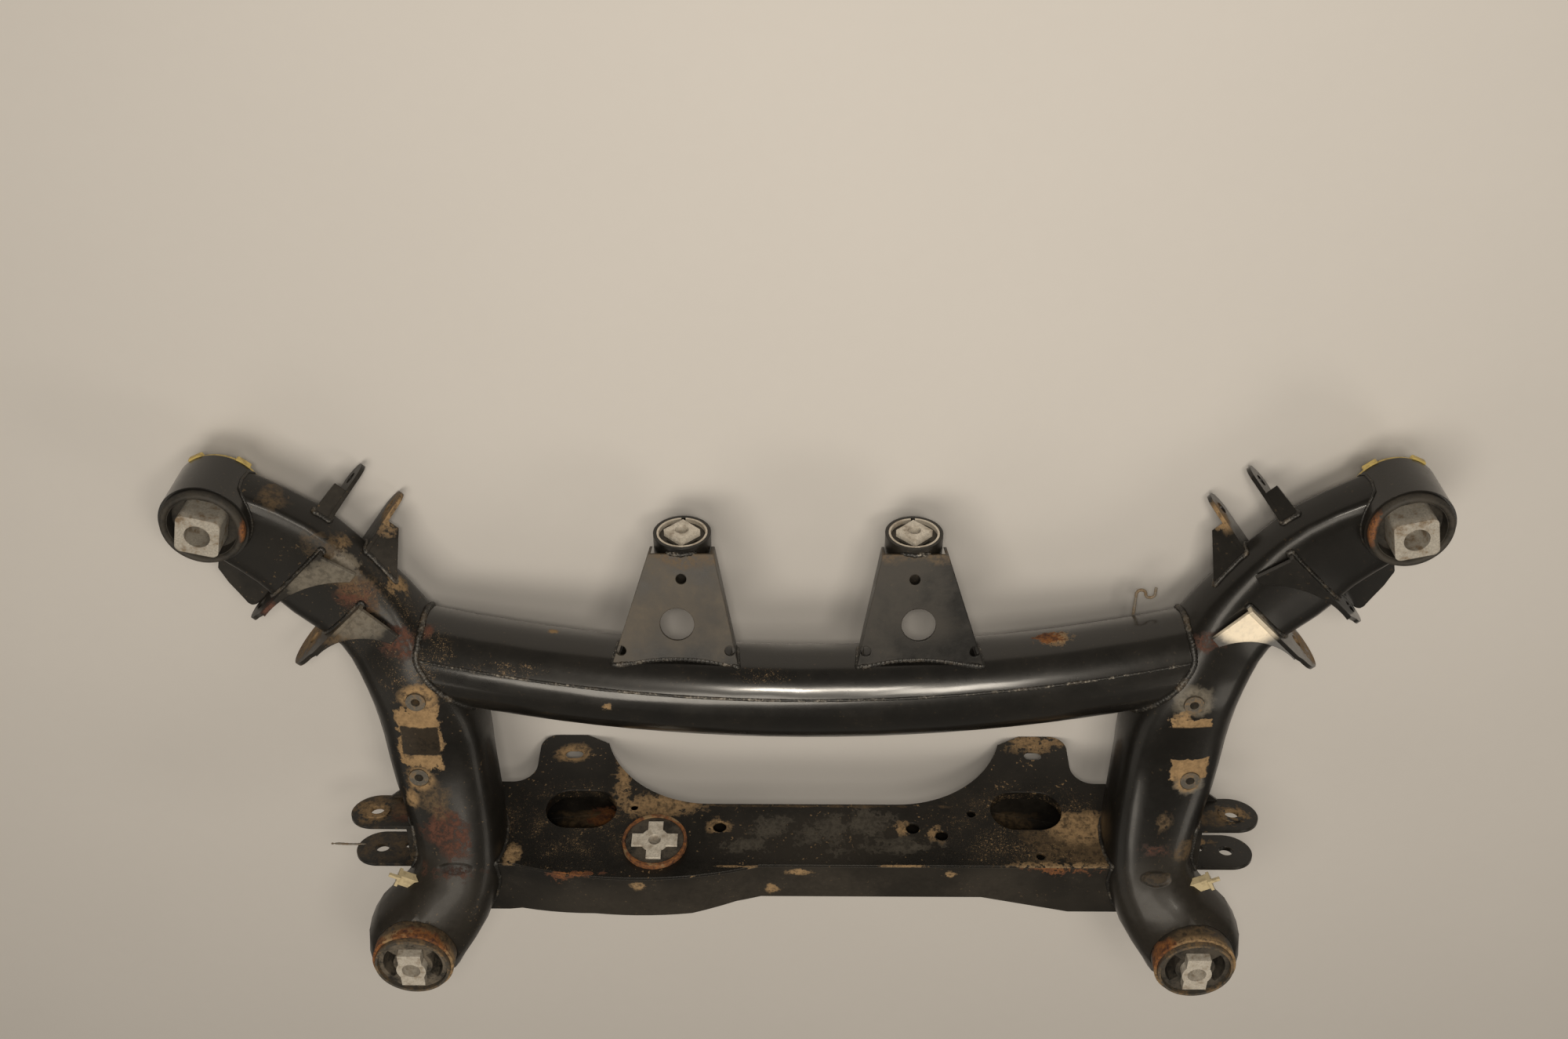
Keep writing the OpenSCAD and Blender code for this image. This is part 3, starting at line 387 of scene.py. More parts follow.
def rusted_steel(name, share):
    """Bare steel rim gone orange, with some black paint left"""
    tones = settings("paint")
    finish = Finish(name)
    blotch = finish.noise(55.0, 4.0, 0.6)
    grain = finish.noise(240.0, 5.0, 0.65)
    fine = finish.noise(1100.0, 2.0)
    gone = (blotch * 0.6 + grain * 0.4).ramp(0.62 - share * 0.3, 0.72 - share * 0.3)
    tone = finish.mix(grain.ramp(0.3, 0.7), dark(tones.old_rust, 0.9), tones.rust)
    dusty = finish.mix(blotch.ramp(0.52, 0.62), tone, dark(tones.mud, 0.8))
    colour = finish.mix(gone, tones.paint, dusty)
    return finish.surface(colour, 0.45 + gone * 0.4, grain * 0.5 * gone + fine * 0.15, 0.0, 0.0, 0.0006)


def worn_steel(name, tone_share, dirt):
    """Machined steel, dulled and dirty in its hollows"""
    kit = settings("mounts")
    tones = settings("paint")
    finish = Finish(name)
    blotch = finish.noise(70.0, 4.0, 0.6)
    grain = finish.noise(420.0, 4.0, 0.6)
    dirty = (blotch * 0.6 + grain * 0.4).ramp(0.44, 0.62) * dirt
    base = finish.mix(grain, dark(kit.steel, 0.75 * tone_share), dark(kit.steel, 1.15 * tone_share))
    colour = finish.mix(dirty, base, dark(tones.mud, 0.55))
    return finish.surface(colour, 0.38 + dirty * 0.4, grain, 0.40 - dirty * 0.35, 0.0, 0.0005, 0.0003)


def cast_aluminium(name, clean, bright):
    """Dull cast metal with a grey oxide skin and brown dirt"""
    kit = settings("mounts")
    tones = settings("paint")
    finish = Finish(name)
    blotch = finish.noise(110.0, 4.0, 0.6)
    grain = finish.noise(600.0, 4.0, 0.6)
    dirty = (blotch * 0.7 + grain * 0.3).ramp(0.47, 0.66) * (1.15 - clean * 0.5)
    base = finish.mix(
        grain.ramp(0.3, 0.7), dark(kit.aluminium, 0.72 * bright), dark(kit.aluminium, 1.1 * bright)
    )
    colour = finish.mix(dirty, base, dark(tones.mud, 0.5))
    return finish.surface(colour, 0.5 + dirty * 0.3, grain, 0.18 - dirty * 0.15, 0.0, 0.0009, 0.0004, 0.8)


def bush_rubber(name, dusty, marks=(), dust=1.5):
    """Black rubber with a brown dusty bloom and, where marks are given, rust run down from the steel"""
    kit = settings("mounts")
    tones = settings("paint")
    finish = Finish(name)
    blotch = finish.noise(60.0, 4.0, 0.6)
    grain = finish.noise(380.0, 5.0, 0.65)
    bloom = (blotch * 0.6 + grain * 0.4).ramp(0.36, 0.60) * dusty
    colour = finish.mix(bloom, kit.rubber, dark(tones.haze, dust))
    height = grain * 0.6
    rough = 0.62 + bloom * 0.25
    if marks:
        share = finish.patches([m[1:] for m in marks], ragged_field(blotch, grain))
        tone = finish.mix(grain.ramp(0.3, 0.7), dark(tones.old_rust, 0.9), tones.rust)
        colour = finish.mix(share, colour, tone)
        height = height + share * grain
    return finish.surface(colour, rough, height, 0.0, 0.0, 0.0012, 0.0005)


def moulded_plastic(name, tone, dirt):
    """Pale moulded plastic, grimy and a little faded"""
    tones = settings("paint")
    finish = Finish(name)
    blotch = finish.noise(130.0, 4.0, 0.6)
    grain = finish.noise(800.0, 3.0)
    dirty = blotch.ramp(0.45, 0.62) * dirt
    base = finish.mix(grain, dark(tone, 0.85), dark(tone, 1.1))
    colour = finish.mix(dirty, base, dark(tones.mud, 0.35))
    return finish.surface(colour, 0.48 + dirty * 0.3, grain, 0.0, 0.0, 0.0004, 0.0003)


def weld_metal(name, bright, rusty):
    """Bead of weld under patchy paint: sooty with silvery crests"""
    kit = settings("mounts")
    tones = settings("paint")
    finish = Finish(name)
    blotch = finish.noise(60.0, 4.0, 0.6)
    grain = finish.noise(420.0, 4.0, 0.6)
    bare_and_glint = (blotch * 0.45 + grain * 0.55).ramp(0.50, 0.64) * bright
    brown = (blotch * 0.7 + (1.0 - grain) * 0.3).ramp(0.50, 0.62) * rusty
    colour = finish.mix(bare_and_glint, dark(tones.paint, 1.6), dark(kit.steel, 0.9))
    colour = finish.mix(brown, colour, dark(tones.mud, 0.5))
    rough = 0.30 + grain * 0.22 + brown * 0.35
    return finish.surface(colour, rough, grain, bare_and_glint * 0.7, 0.0, 0.0004, 0.0006, 0.9)


# Meshes


# Metres and radians
JOIN_DISTANCE = 0.00002
CRISP_ANGLE = math.radians(33)
FOLD_ANGLE = math.radians(24)
TOUCH_GAP = 0.0009
BEAD_STEP = 0.0011
SHORTEST_BEAD = 0.007
BEAD_SIDES = 8
# Points over which an open bead tapers at each end
BEAD_TAPER = 3


def dress(names, material):
    """Give CAD nodes their finish and smooth shading without moving a vertex"""
    for name in names:
        obj = NODES[name]
        mesh = obj.data
        mesh.materials.clear()
        mesh.materials.append(material)
        if "custom_normal" in mesh.attributes:
            mesh.attributes.remove(mesh.attributes["custom_normal"])
        mesh.polygons.foreach_set("use_smooth", [True] * len(mesh.polygons))
        weld = obj.modifiers.new("Join corners", "WELD")
        weld.merge_threshold = JOIN_DISTANCE
        split = obj.modifiers.new("Crisp edges", "EDGE_SPLIT")
        split.split_angle = CRISP_ANGLE
        even = obj.modifiers.new("Even shading", "WEIGHTED_NORMAL")
        even.keep_sharp = True
        mesh.update()


def joined_mesh(name):
    """Copy of a CAD node's mesh with its split corners joined"""
    work = bmesh.new()
    work.from_mesh(NODES[name].data)
    bmesh.ops.remove_doubles(work, verts=work.verts, dist=JOIN_DISTANCE)
    work.verts.ensure_lookup_table()
    work.normal_update()
    return work


def touch_lines(name, carrier_trees):
    """Chains of the node's crisp edges that lie on a carrier's skin: where the weld runs"""
    work = joined_mesh(name)

    def touching(point):
        return any(tree.find_nearest(point, TOUCH_GAP)[0] is not None for tree in carrier_trees)

    near = {v.index for v in work.verts if touching(v.co)}
    links = {}
    points = {v.index: v.co.copy() for v in work.verts}
    for edge in work.edges:
        a, b = (v.index for v in edge.verts)
        if a not in near or b not in near or len(edge.link_faces) != 2:
            continue
        if edge.calc_face_angle(0.0) < FOLD_ANGLE:
            continue
        if not touching((points[a] + points[b]) / 2):
            continue
        links.setdefault(a, set()).add(b)
        links.setdefault(b, set()).add(a)
    work.free()
    chains = []
    ends = sorted(v for v in links if len(links[v]) == 1)
    for start in ends + sorted(links):
        while links.get(start):
            chain = [start]
            here = start
            while links.get(here):
                last = chain[-2] if len(chain) > 1 else None
                ahead = sorted(
                    links[here],
                    key=lambda n: 0 if last is None else -(points[n] - points[here]).normalized().dot(
                        (points[here] - points[last]).normalized()),
                )[0]
                links[here].discard(ahead)
                links[ahead].discard(here)
                chain.append(ahead)
                here = ahead
                if here == start:
                    break
            chains.append(([points[n] for n in chain], chain[0] == chain[-1]))
    return chains


def spaced(points, closed, step, soften=2):
    """Points at an even step along a chain, with its corners softened"""
    if closed:
        points = points[:-1]
    for _ in range(soften):
        fresh = []
        count = len(points)
        for i in range(count if closed else count - 1):
            a, b = points[i], points[(i + 1) % count]
            fresh += [a * 0.75 + b * 0.25, a * 0.25 + b * 0.75]
        if not closed:
            fresh = [points[0]] + fresh + [points[-1]]
        points = fresh
    if closed:
        points = points + [points[0]]
    lengths = [0.0]
    for a, b in zip(points, points[1:]):
        lengths.append(lengths[-1] + (b - a).length)
    total = lengths[-1]
    count = max(2, round(total / step))
    out, k = [], 0
    for i in range(count + (0 if closed else 1)):
        want = total * i / count
        while k < len(lengths) - 2 and lengths[k + 1] < want:
            k += 1
        span = lengths[k + 1] - lengths[k]
        out.append(points[k].lerp(points[k + 1], (want - lengths[k]) / span if span else 0.0))
    return out, total


def bead(work, points, closed, radius, pitch, total, seed):
    """Sweep a rippled round bead along the points into the mesh"""
    count = len(points)
    rings = []
    across = None
    step = total / max(1, count - (0 if closed else 1))
    for i, point in enumerate(points):
        before = points[i - 1] if (closed or i) else point
        after = points[(i + 1) % count] if (closed or i < count - 1) else point
        along = (after - before).normalized()
        if across is None:
            across = along.orthogonal()
        across = (across - along * across.dot(along)).normalized()
        up = along.cross(across)
        far = i * step
        ripple = abs(math.sin(math.pi * far / pitch + seed))
        drift = noise.noise(Vector((far * 90, seed * 3.1, 0.0)))
        size = radius * (0.84 + 0.22 * ripple + 0.20 * drift)
        if not closed:
            size *= min(1.0, 0.35 + 0.65 * min(i, count - 1 - i) / BEAD_TAPER)
        rings.append([
            work.verts.new(point + (across * math.cos(a) + up * math.sin(a)) * size)
            for a in (2 * math.pi * s / BEAD_SIDES for s in range(BEAD_SIDES))
        ])
    for i in range(count if closed else count - 1):
        low, high = rings[i], rings[(i + 1) % count]
        turn = 0
        if closed and i == count - 1:
            turn = min(range(BEAD_SIDES), key=lambda t: (low[0].co - high[t].co).length)
        for s in range(BEAD_SIDES):
            ahead = (s + 1) % BEAD_SIDES
            work.faces.new((
                low[s], low[ahead], high[(ahead + turn) % BEAD_SIDES], high[(s + turn) % BEAD_SIDES]))
    if not closed:
        work.faces.new(list(reversed(rings[0])))
        work.faces.new(rings[-1])


def finish_piece(name, work, material):
    """Turn a built mesh into a piece that rides on the frame"""
    bmesh.ops.recalc_face_normals(work, faces=work.faces)
    mesh = bpy.data.meshes.new(name)
    work.to_mesh(mesh)
    work.free()
    mesh.polygons.foreach_set("use_smooth", [True] * len(mesh.polygons))
    mesh.materials.append(material)
    obj = bpy.data.objects.new(name, mesh)
    bpy.context.scene.collection.objects.link(obj)
    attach(obj, "root")
    return obj


def ring_of(work, middle, profile, count):
    """Turn a closed profile, in millimetres of radius and height, round an upright axis"""
    rings = []
    for i in range(count):
        a = 2 * math.pi * i / count
        rings.append([
            work.verts.new((
                middle[0] + r / MM * math.cos(a), middle[1] + r / MM * math.sin(a), middle[2] + z / MM))
            for r, z in profile
        ])
    many = len(profile)
    for i in range(count):
        low, high = rings[i], rings[(i + 1) % count]
        for k in range(many):
            work.faces.new((low[k], high[k], high[(k + 1) % many], low[(k + 1) % many]))


def plate_of(work, outline, low, high, bevel):
    """Raise a flat plate with softened edges over an outline in metres"""
    bottom = [work.verts.new((x, y, low)) for x, y in outline]
    top = [work.verts.new((x, y, high)) for x, y in outline]
    work.faces.new(bottom[::-1])
    work.faces.new(top)
    for i in range(len(outline)):
        k = (i + 1) % len(outline)
        work.faces.new((bottom[i], bottom[k], top[k], top[i]))
    bmesh.ops.bevel(work, geom=list(work.edges), offset=bevel, segments=2, affect="EDGES")


def skin_of(name):
    """Search tree over a CAD node's skin"""
    work = joined_mesh(name)
    tree = BVHTree.FromBMesh(work)
    work.free()
    return tree


def open_bead(work, points, radius, pitch, step, seed, soften=2):
    """Sweep a bead with tapered ends along points in millimetres"""
    path, total = spaced([Vector(c) / MM for c in points], False, step, soften)
    bead(work, path, False, radius, pitch, total, seed)


def weld_round(piece, joints, radius, material):
    """One piece holding the beads of several joints; a joint is a node and the nodes that carry it"""
    pitch = settings("welds").pitch
    work = bmesh.new()
    seed = 0.0
    for name, carriers in joints:
        trees = [skin_of(c) for c in carriers]
        for points, closed in touch_lines(name, trees):
            total = sum((b - a).length for a, b in zip(points, points[1:]))
            if total < SHORTEST_BEAD:
                continue
            path, total = spaced(points, closed, BEAD_STEP)
            seed += 1.7
            bead(work, path, closed, radius, pitch, total, seed)
    if not work.verts:
        raise RuntimeError("no weld line found for " + piece)
    return finish_piece(piece, work, material)


# Stains, in millimetres: kind, middle, reach along x, y and z, raggedness,
# and for a slanting one its turn about the upright axis in radians


LEFT_MEMBER_MARKS = [
    ("mud", (-366, 46, 135), (20, 16, 20), 0.22),
    ("pad", (-371, 0, 140), (20.5, 36, 28), 0.22),
    ("mud", (-376, -48, 145), (16, 16, 18), 0.25),
    ("mud", (-386, -68, 155), (9, 12, 12), 0.35),
    ("clean", (-370, -4, 141), (19, 17, 26), 0.05),
    ("red", (-351, -101, 170), (24, 28, 22), 0.45),
    ("red", (-344, -137, 187), (27, 7, 12), 0.95),
    ("red", (-421, 144, 101), (24, 17, 18), 0.45),
    ("red", (-381, 96, 116), (17, 16, 16), 0.50),
    ("brown", (-366, -68, 158), (24, 16, 18), 0.55),
    ("brown", (-430, 165, 98), (44, 22, 30), 0.50, 0.8),
    ("spatter", (-400, 112, 106), (46, 50, 40), 0.4),
    ("spatter", (-374, 60, 124), (30, 30, 24), 0.5),
    ("brown", (-480, 245, 88), (44, 9, 30), 0.45, 0.5),
    ("scuff", (-425, 173, 95), (20, 15, 14), 0.45),
    ("brown", (-484, 238, 74), (16, 12, 18), 0.45),
    ("mud", (-385, 138, 78), (15, 15, 15), 0.55),
    ("mud", (-414, 190, 88), (14, 9, 20), 0.55),
    # A dent, darkened inside as painted shade
    ("shaded_dent", (-344, -133, 185), (18, 6, 8), 0.2),
    ("film", (-372, -175, 190), (70, 80, 56), 0.35),
]
RIGHT_MEMBER_MARKS = [
    ("pad", (370, 20, 137), (19, 5, 20), 0.30),
    ("mud", (362, 28, 136), (9, 7, 12), 0.50),
    ("scuff", (368, 44, 135), (21, 18, 16), 0.20),
    ("pad", (373, -33, 143), (19, 12, 20), 0.12),
    ("mud", (374, -50, 145), (12, 10, 16), 0.35),
    ("scuff", (376, -50, 145), (15, 14, 15), 0.25),
    ("clean", (370, -2, 141), (21, 18, 24), 0.03),
    ("red", (385, 100, 114), (17, 10, 14), 0.50),
    ("red", (346, -113, 175), (18, 9, 12), 0.60),
    ("brown", (382, -118, 173), (18, 12, 14), 0.55),
    ("brown", (352, -88, 163), (10, 12, 12), 0.65),
    # A dent, darkened inside as painted shade; the brown stain over it is real dirt
    ("shaded_dent", (347, -139, 188), (15, 8, 9), 0.2),
    ("brown", (347, -139, 188), (13, 6, 9), 0.6),
    ("film", (372, -175, 190), (75, 85, 60), 0.3),
]
TUBE_MARKS = [
    ("red", (-357, 100, 102), (9, 7, 8), 0.45),
    ("rust", (232, 92, 97), (13, 9, 8), 0.90),
    ("mud", (238, 92, 98), (16, 10, 9), 0.95),
    ("mud", (-185, 48, 150), (6, 6, 6), 0.6),
    ("mud", (-240, 91, 90), (5, 4, 5), 0.6),
    ("spatter", (-284, 77, 131), (46, 9, 9), 0.3),
    ("spatter", (-37, 76, 137), (34, 9, 9), 0.3),
    ("spatter", (-348, 80, 118), (24, 34, 34), 0.4),
]
PLATE_MARKS = [
    ("mud", (279, -134, 123), (36, 12, 24), 0.45),
    ("mud", (247, -124, 10), (30, 12, 13), 0.75),
    ("mud", (-244, -125, 27), (20, 14, 13), 0.40),
    ("mud", (-150, -131, 99), (42, 12, 17), 0.60),
    ("mud", (-187, -128, 60), (9, 12, 42), 0.80),
    ("mud", (-86, -134, 124), (12, 12, 10), 0.60),
    ("mud", (101, -134, 125), (9, 12, 8), 0.80),
    ("mud", (131, -134, 131), (10, 12, 8), 0.85),
    ("brown", (20, -131, 97.5), (100, 10, 1.8), 0.90),
    ("mud", (-64, -139, 174.5), (18, 7, 1.1), 0.90),
    ("mud", (100, -139, 172.5), (24, 7, 1.0), 0.90),
    ("brown", (275, -136, 150), (60, 14, 40), 0.6),
    ("spatter", (-240, -136, 120), (90, 14, 70), 0.3),
    ("spatter", (230, -136, 120), (110, 14, 70), 0.3),
    ("rust", (-243, -139, 184), (38, 8, 2.6), 0.80),
    ("mud", (262, -140, 171), (44, 8, 4), 0.90),
    ("mud", (-292, -137, 162), (9, 9, 14), 0.50),
    ("film", (20, -136, 140), (130, 14, 40), 0.35),
    ("smear", (24, -134, 134), (34, 12, 20), 1.10),
    ("smear", (66, -134, 118), (26, 12, 14), 1.10),
    ("smear", (-32, -134, 128), (26, 12, 12), 1.10),
    ("smear", (-66, -134, 148), (22, 12, 10), 1.10),
    ("smear", (100, -134, 150), (24, 12, 10), 1.10),
]
PAN_MARKS = [
    ("rust", (-243, -142, 183), (36, 9, 2.6), 0.80),
    ("rust", (257, -142, 173), (30, 9, 1.8), 0.95),
    ("mud", (-163, -152, 188), (8, 6, 5), 0.50),
    ("mud", (-31, -174, 169), (9, 9, 9), 0.55),
    ("mud", (-4, -149, 172), (14, 5, 5), 0.60),
    ("mud", (147, -152, 171), (7, 5, 6), 0.60),
    ("film", (0, -190, 150), (330, 70, 70), 0.25),
    ("brown", (-226, -188, 72), (46, 10, 34), 0.35),
    ("rust", (-205, -188, 62), (24, 10, 9), 0.70),
    ("brown", (215, -188, 72), (40, 10, 30), 0.35),
]
LEFT_EAR_MARKS = [
    ("mud", (-477, 69, 76), (28, 26, 28), 0.45),
    ("red", (-493, 55, 70), (12, 12, 20), 0.50),
    ("red", (-503, 130, 104), (13, 12, 14), 0.50),
    ("mud", (-394, 190, 30), (16, 22, 26), 0.50),
    ("red", (-390, 195, 55), (16, 16, 24), 0.45),
    ("brown", (-440, 118, 100), (40, 34, 34), 0.60),
    ("scuff", (-416, 121, 113), (34, 24, 12), 0.20),
    ("scuff", (-455, 158, 96), (40, 26, 16), 0.30),
    ("scuff", (-435, 166, 104), (26, 22, 12), 0.30),
    ("mud", (-486, 62, 60), (10, 10, 14), 0.45),
]
RIGHT_EAR_MARKS = [
    # A bare patch on the right ear flange, lit near white as a painted glint
    ("bare_and_glint", (412, 121, 113), (40, 26, 14), 0.06),
    ("mud", (487, 61, 74), (20, 20, 26), 0.40),
    ("mud", (394, 190, 33), (13, 14, 20), 0.45),
    ("brown", (396, 186, 52), (9, 9, 12), 0.60),
]
# The film marks on the brackets lighten each bracket towards its foot
LEFT_BRACKET_MARKS = [
    ("film", (-114, 115, 96), (70, 42, 30), 0.30),
    ("brown", (-114, 185, 90), (44, 12, 20), 0.50),
]
RIGHT_BRACKET_MARKS = [
    ("film", (112, 112, 96), (50, 26, 26), 0.40),
    ("brown", (102, 186, 90), (40, 10, 20), 0.55),
]
LEFT_CLEVIS_MARKS = [
    ("mud", (-432, -112, 130), (19, 30, 19), 0.55),
    ("red", (-398, -110, 132), (22, 20, 22), 0.50),
    ("brown", (-420, -130, 125), (50, 40, 34), 0.75),
]
RIGHT_CLEVIS_MARKS = [
    ("mud", (432, -112, 130), (16, 28, 16), 0.65),
    ("brown", (407, -107, 138), (16, 12, 12), 0.60),
    ("mud", (398, -150, 122), (20, 14, 14), 0.70),
]
LEFT_RUBBER_MARKS = [("rust", (-504, 220, 112), (7, 13, 16), 0.45)]
RIGHT_RUBBER_MARKS = [("rust", (503, 225, 112), (10, 26, 16), 0.40)]
LEFT_COLLAR_MARKS = [
    ("mud", (-386, -213, 236), (95, 95, 11), 0.30),
    ("rust", (-366, -180, 234), (34, 24, 12), 0.35),
    ("rust", (-420, -200, 234), (16, 24, 10), 0.40),
    ("brown", (-386, -213, 226), (95, 95, 16), 0.40),
]
RIGHT_COLLAR_MARKS = [
    ("mud", (386, -213, 238), (95, 95, 9), 0.35),
    ("rust", (352, -196, 233), (18, 30, 14), 0.35),
    ("brown", (380, -180, 230), (50, 30, 14), 0.45),
]


# Shapes, in millimetres

# Cross tube: its axis at the middle in y and z, the direction of its bow there, and how the bow grows
TUBE_AXIS = (38.25, 113.0)
TUBE_LEAN = (0.588, -0.809)
TUBE_BOW = 3600.0
SEAM_HALF = 372
SEAM_REACH = 44.4
# Lip of a front bush: radius, and height over a level under the rubber's top
LIP_PROFILE = (
    (37.6, 104), (37.9, 107), (37.8, 109.6), (36.6, 111.4), (34.6, 112), (32.8, 111.2), (31.6, 109.2),
    (31.3, 106), (31.4, 103),
)
LIP_LEVEL = 109
LIP_COUNT = 96
# Right-hand arm tab in plan
TAB_OUTLINE = (
    (557, 147.5), (550, 131.5), (542.5, 118.5), (536.5, 106), (533, 103.6), (528.6, 104.5), (520.5, 111.2),
    (511, 122.5), (513, 133), (530, 146), (545, 158), (553, 163),
)
TAB_BEVEL = 0.7
# Where the brackets' lower edges lie on the cross tube
FOOT_SEAMS = {
    "left": (
        (-176, 81.9, 128.5), (-160, 82.9, 126), (-144, 84, 122.7), (-128, 84, 121.4), (-112, 83.7, 121),
        (-96, 82.9, 122.4), (-79, 82, 124.6), (-70, 81.2, 127),
    ),
    "right": (
        (53, 80.3, 128.7), (69.5, 81.9, 124.7), (86, 83, 121.4), (102, 83.5, 120.8), (118, 83.8, 121.1),
        (134, 83.6, 123.1), (150, 82.6, 126.4), (166, 81.7, 128.6),
    ),
}
WIRE_ROUTE = (
    (-445, -155.6, 131), (-452, -154.2, 131.5), (-460, -153.4, 132.4), (-468, -153, 132.6),
    (-474, -152.8, 132.2), (-480, -152.4, 132.6),
)
WIRE_KNOB = ((-481.5, -152.4, 131.8), (-481.3, -152.4, 132.6), (-481.2, -152.4, 133.6))


# Operators


class SUBFRAME_OT_members(bpy.types.Operator):
    """Paint the two hydroformed side members, the left one dirtier than the right"""

    bl_idname = "subframe.members"
    bl_label = "Side members"

    def execute(self, context):
        left = painted_steel("left member paint", LEFT_MEMBER_MARKS, 0.12, 0.26, 0.36, coat=0.10)
        right = painted_steel("right member paint", RIGHT_MEMBER_MARKS, 0.07, 0.08, 0.32, coat=0.16)
        dress(["left_side_member"], left)
        dress(["right_side_member"], right)
        return {"FINISHED"}


class SUBFRAME_OT_cross_tube(bpy.types.Operator):
    """Paint the bowed cross tube and lay its long seam"""

    bl_idname = "subframe.cross_tube"
    bl_label = "Front cross tube"

    def execute(self, context):
        sizes = settings("welds")
        dress(["front_cross_tube"], painted_steel("tube paint", TUBE_MARKS, 0.14, 0.06, 0.30, coat=0.8))
        work = bmesh.new()
        out = [SEAM_REACH * math.cos(sizes.seam_turn), SEAM_REACH * math.sin(sizes.seam_turn)]
        points = []
        for x in range(-SEAM_HALF, SEAM_HALF + 1, 6):
            sag = x * x / TUBE_BOW
            points.append((x, *(TUBE_AXIS[k] + sag * TUBE_LEAN[k] + out[k] for k in range(2))))
        open_bead(work, points, sizes.seam, sizes.pitch * 1.4, 0.0013, 0.4, soften=0)
        finish_piece("cross_tube_seam", work, weld_metal("seam weld", 0.8, 0.15))
        return {"FINISHED"}


class SUBFRAME_OT_crossmember(bpy.types.Operator):
    """Paint the rear crossmember's front plate and pan"""

    bl_idname = "subframe.crossmember"
    bl_label = "Rear crossmember"

    def execute(self, context):
        dress(["crossmember_front_plate"], painted_steel("plate paint", PLATE_MARKS, 0.26, 0.8, 0.36))
        dress(["crossmember_pan"], painted_steel("pan paint", PAN_MARKS, 0.5, 0.15, 0.42))
        return {"FINISHED"}


class SUBFRAME_OT_front_mounts(bpy.types.Operator):
    """Finish the two front mounts: housing, rubber with its lip, cast core and yellow stop ring"""

    bl_idname = "subframe.front_mounts"
    bl_label = "Front mounts"

    def execute(self, context):
        kit = settings("mounts")
        housing = painted_steel("housing paint", [], 0.22, 0.10, 0.32, coat=0.5)
        dress([f"{side}_front_housing" for side in SIDES], housing)
        for side, dusty, marks in (("left", 0.35, LEFT_RUBBER_MARKS), ("right", 0.45, RIGHT_RUBBER_MARKS)):
            dress([f"{side}_front_rubber"], bush_rubber(f"{side} front rubber", dusty, marks))
            low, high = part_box(f"{side}_front_rubber")
            middle = (Vector(low) + Vector(high)) / 2
            work = bmesh.new()
            ring_of(work, (middle.x, middle.y, high[2] - LIP_LEVEL / MM), LIP_PROFILE, LIP_COUNT)
            lip = bush_rubber(f"{side} lip rubber", 0.4, marks)
            finish_piece(f"{side}_front_bush_lip", work, lip)
        dress([f"{side}_front_core" for side in SIDES], cast_aluminium("front core metal", 0.5, 0.85))
        stop_ring = moulded_plastic("stop ring plastic", kit.yellow, 0.35)
        dress([f"{side}_front_collar" for side in SIDES], stop_ring)
        return {"FINISHED"}


class SUBFRAME_OT_rear_mounts(bpy.types.Operator):
    """Finish the two rear mounts: collar with a rusty rim, shell, rubber and cast core"""

    bl_idname = "subframe.rear_mounts"
    bl_label = "Rear mounts"

    def execute(self, context):
        for side, marks, haze in (("left", LEFT_COLLAR_MARKS, 0.6), ("right", RIGHT_COLLAR_MARKS, 0.5)):
            dress([f"{side}_rear_collar"], painted_steel(f"{side} rear collar paint", marks, haze, 0.3, 0.4))
        dress([f"{side}_rear_shell" for side in SIDES], worn_steel("rear shell steel", 0.22, 1.0))
        dress(["left_rear_rubber"], bush_rubber("left rear rubber", 1.0, (), 2.4))
        dress(["right_rear_rubber"], bush_rubber("right rear rubber", 0.8, (), 1.3))
        dress([f"{side}_rear_core" for side in SIDES], cast_aluminium("rear core metal", 0.8, 1.15))
        return {"FINISHED"}


class SUBFRAME_OT_rear_bush(bpy.types.Operator):
    """Finish the rear axle-drive bush: rusty sleeve, rubber and cross-shaped core"""

    bl_idname = "subframe.rear_bush"
    bl_label = "Rear axle-drive bush"

    def execute(self, context):
        dress(["rear_bush_sleeve"], rusted_steel("bush sleeve rust", 1.0))
        dress(["rear_bush_rubber"], bush_rubber("bush rubber", 0.9))
        dress(["rear_bush_core"], cast_aluminium("bush core metal", 1.0, 1.45))
        return {"FINISHED"}


class SUBFRAME_OT_drive_brackets(bpy.types.Operator):
    """Finish the front axle-drive brackets, their rings, sleeves, rubbers and cores, and weld their feet"""

    bl_idname = "subframe.drive_brackets"
    bl_label = "Front axle-drive brackets"

    def execute(self, context):
        # Both brackets get a lifted film colour, the left far lighter than the right: a painted sheen on
        # their faces
        left = painted_steel("left bracket paint", LEFT_BRACKET_MARKS, 0.85, 0.06, 0.34, sheen_lift=2.4)
        right = painted_steel("right bracket paint", RIGHT_BRACKET_MARKS, 0.55, 0.06, 0.32, sheen_lift=1.1)
        dress(["left_bracket"], left)
        dress(["right_bracket"], right)
        dress([f"{side}_bracket_ring" for side in SIDES], painted_steel("ring paint", [], 0.35, 0.10, 0.34))
        dress([f"{side}_split_sleeve" for side in SIDES], worn_steel("split sleeve steel", 1.7, 0.5))
        dress([f"{side}_bracket_rubber" for side in SIDES], bush_rubber("bracket rubber", 0.5))
        dress([f"{side}_bracket_core" for side in SIDES], cast_aluminium("bracket core metal", 1.0, 1.45))
        for side, points in FOOT_SEAMS.items():
            work = bmesh.new()
            open_bead(work, points, radius=0.0030, pitch=0.0042, step=0.0008, seed=0.6)
            metal = weld_metal(f"{side} foot weld", 0.35, 0.15)
            finish_piece(f"{side}_bracket_foot_weld", work, metal)
        return {"FINISHED"}


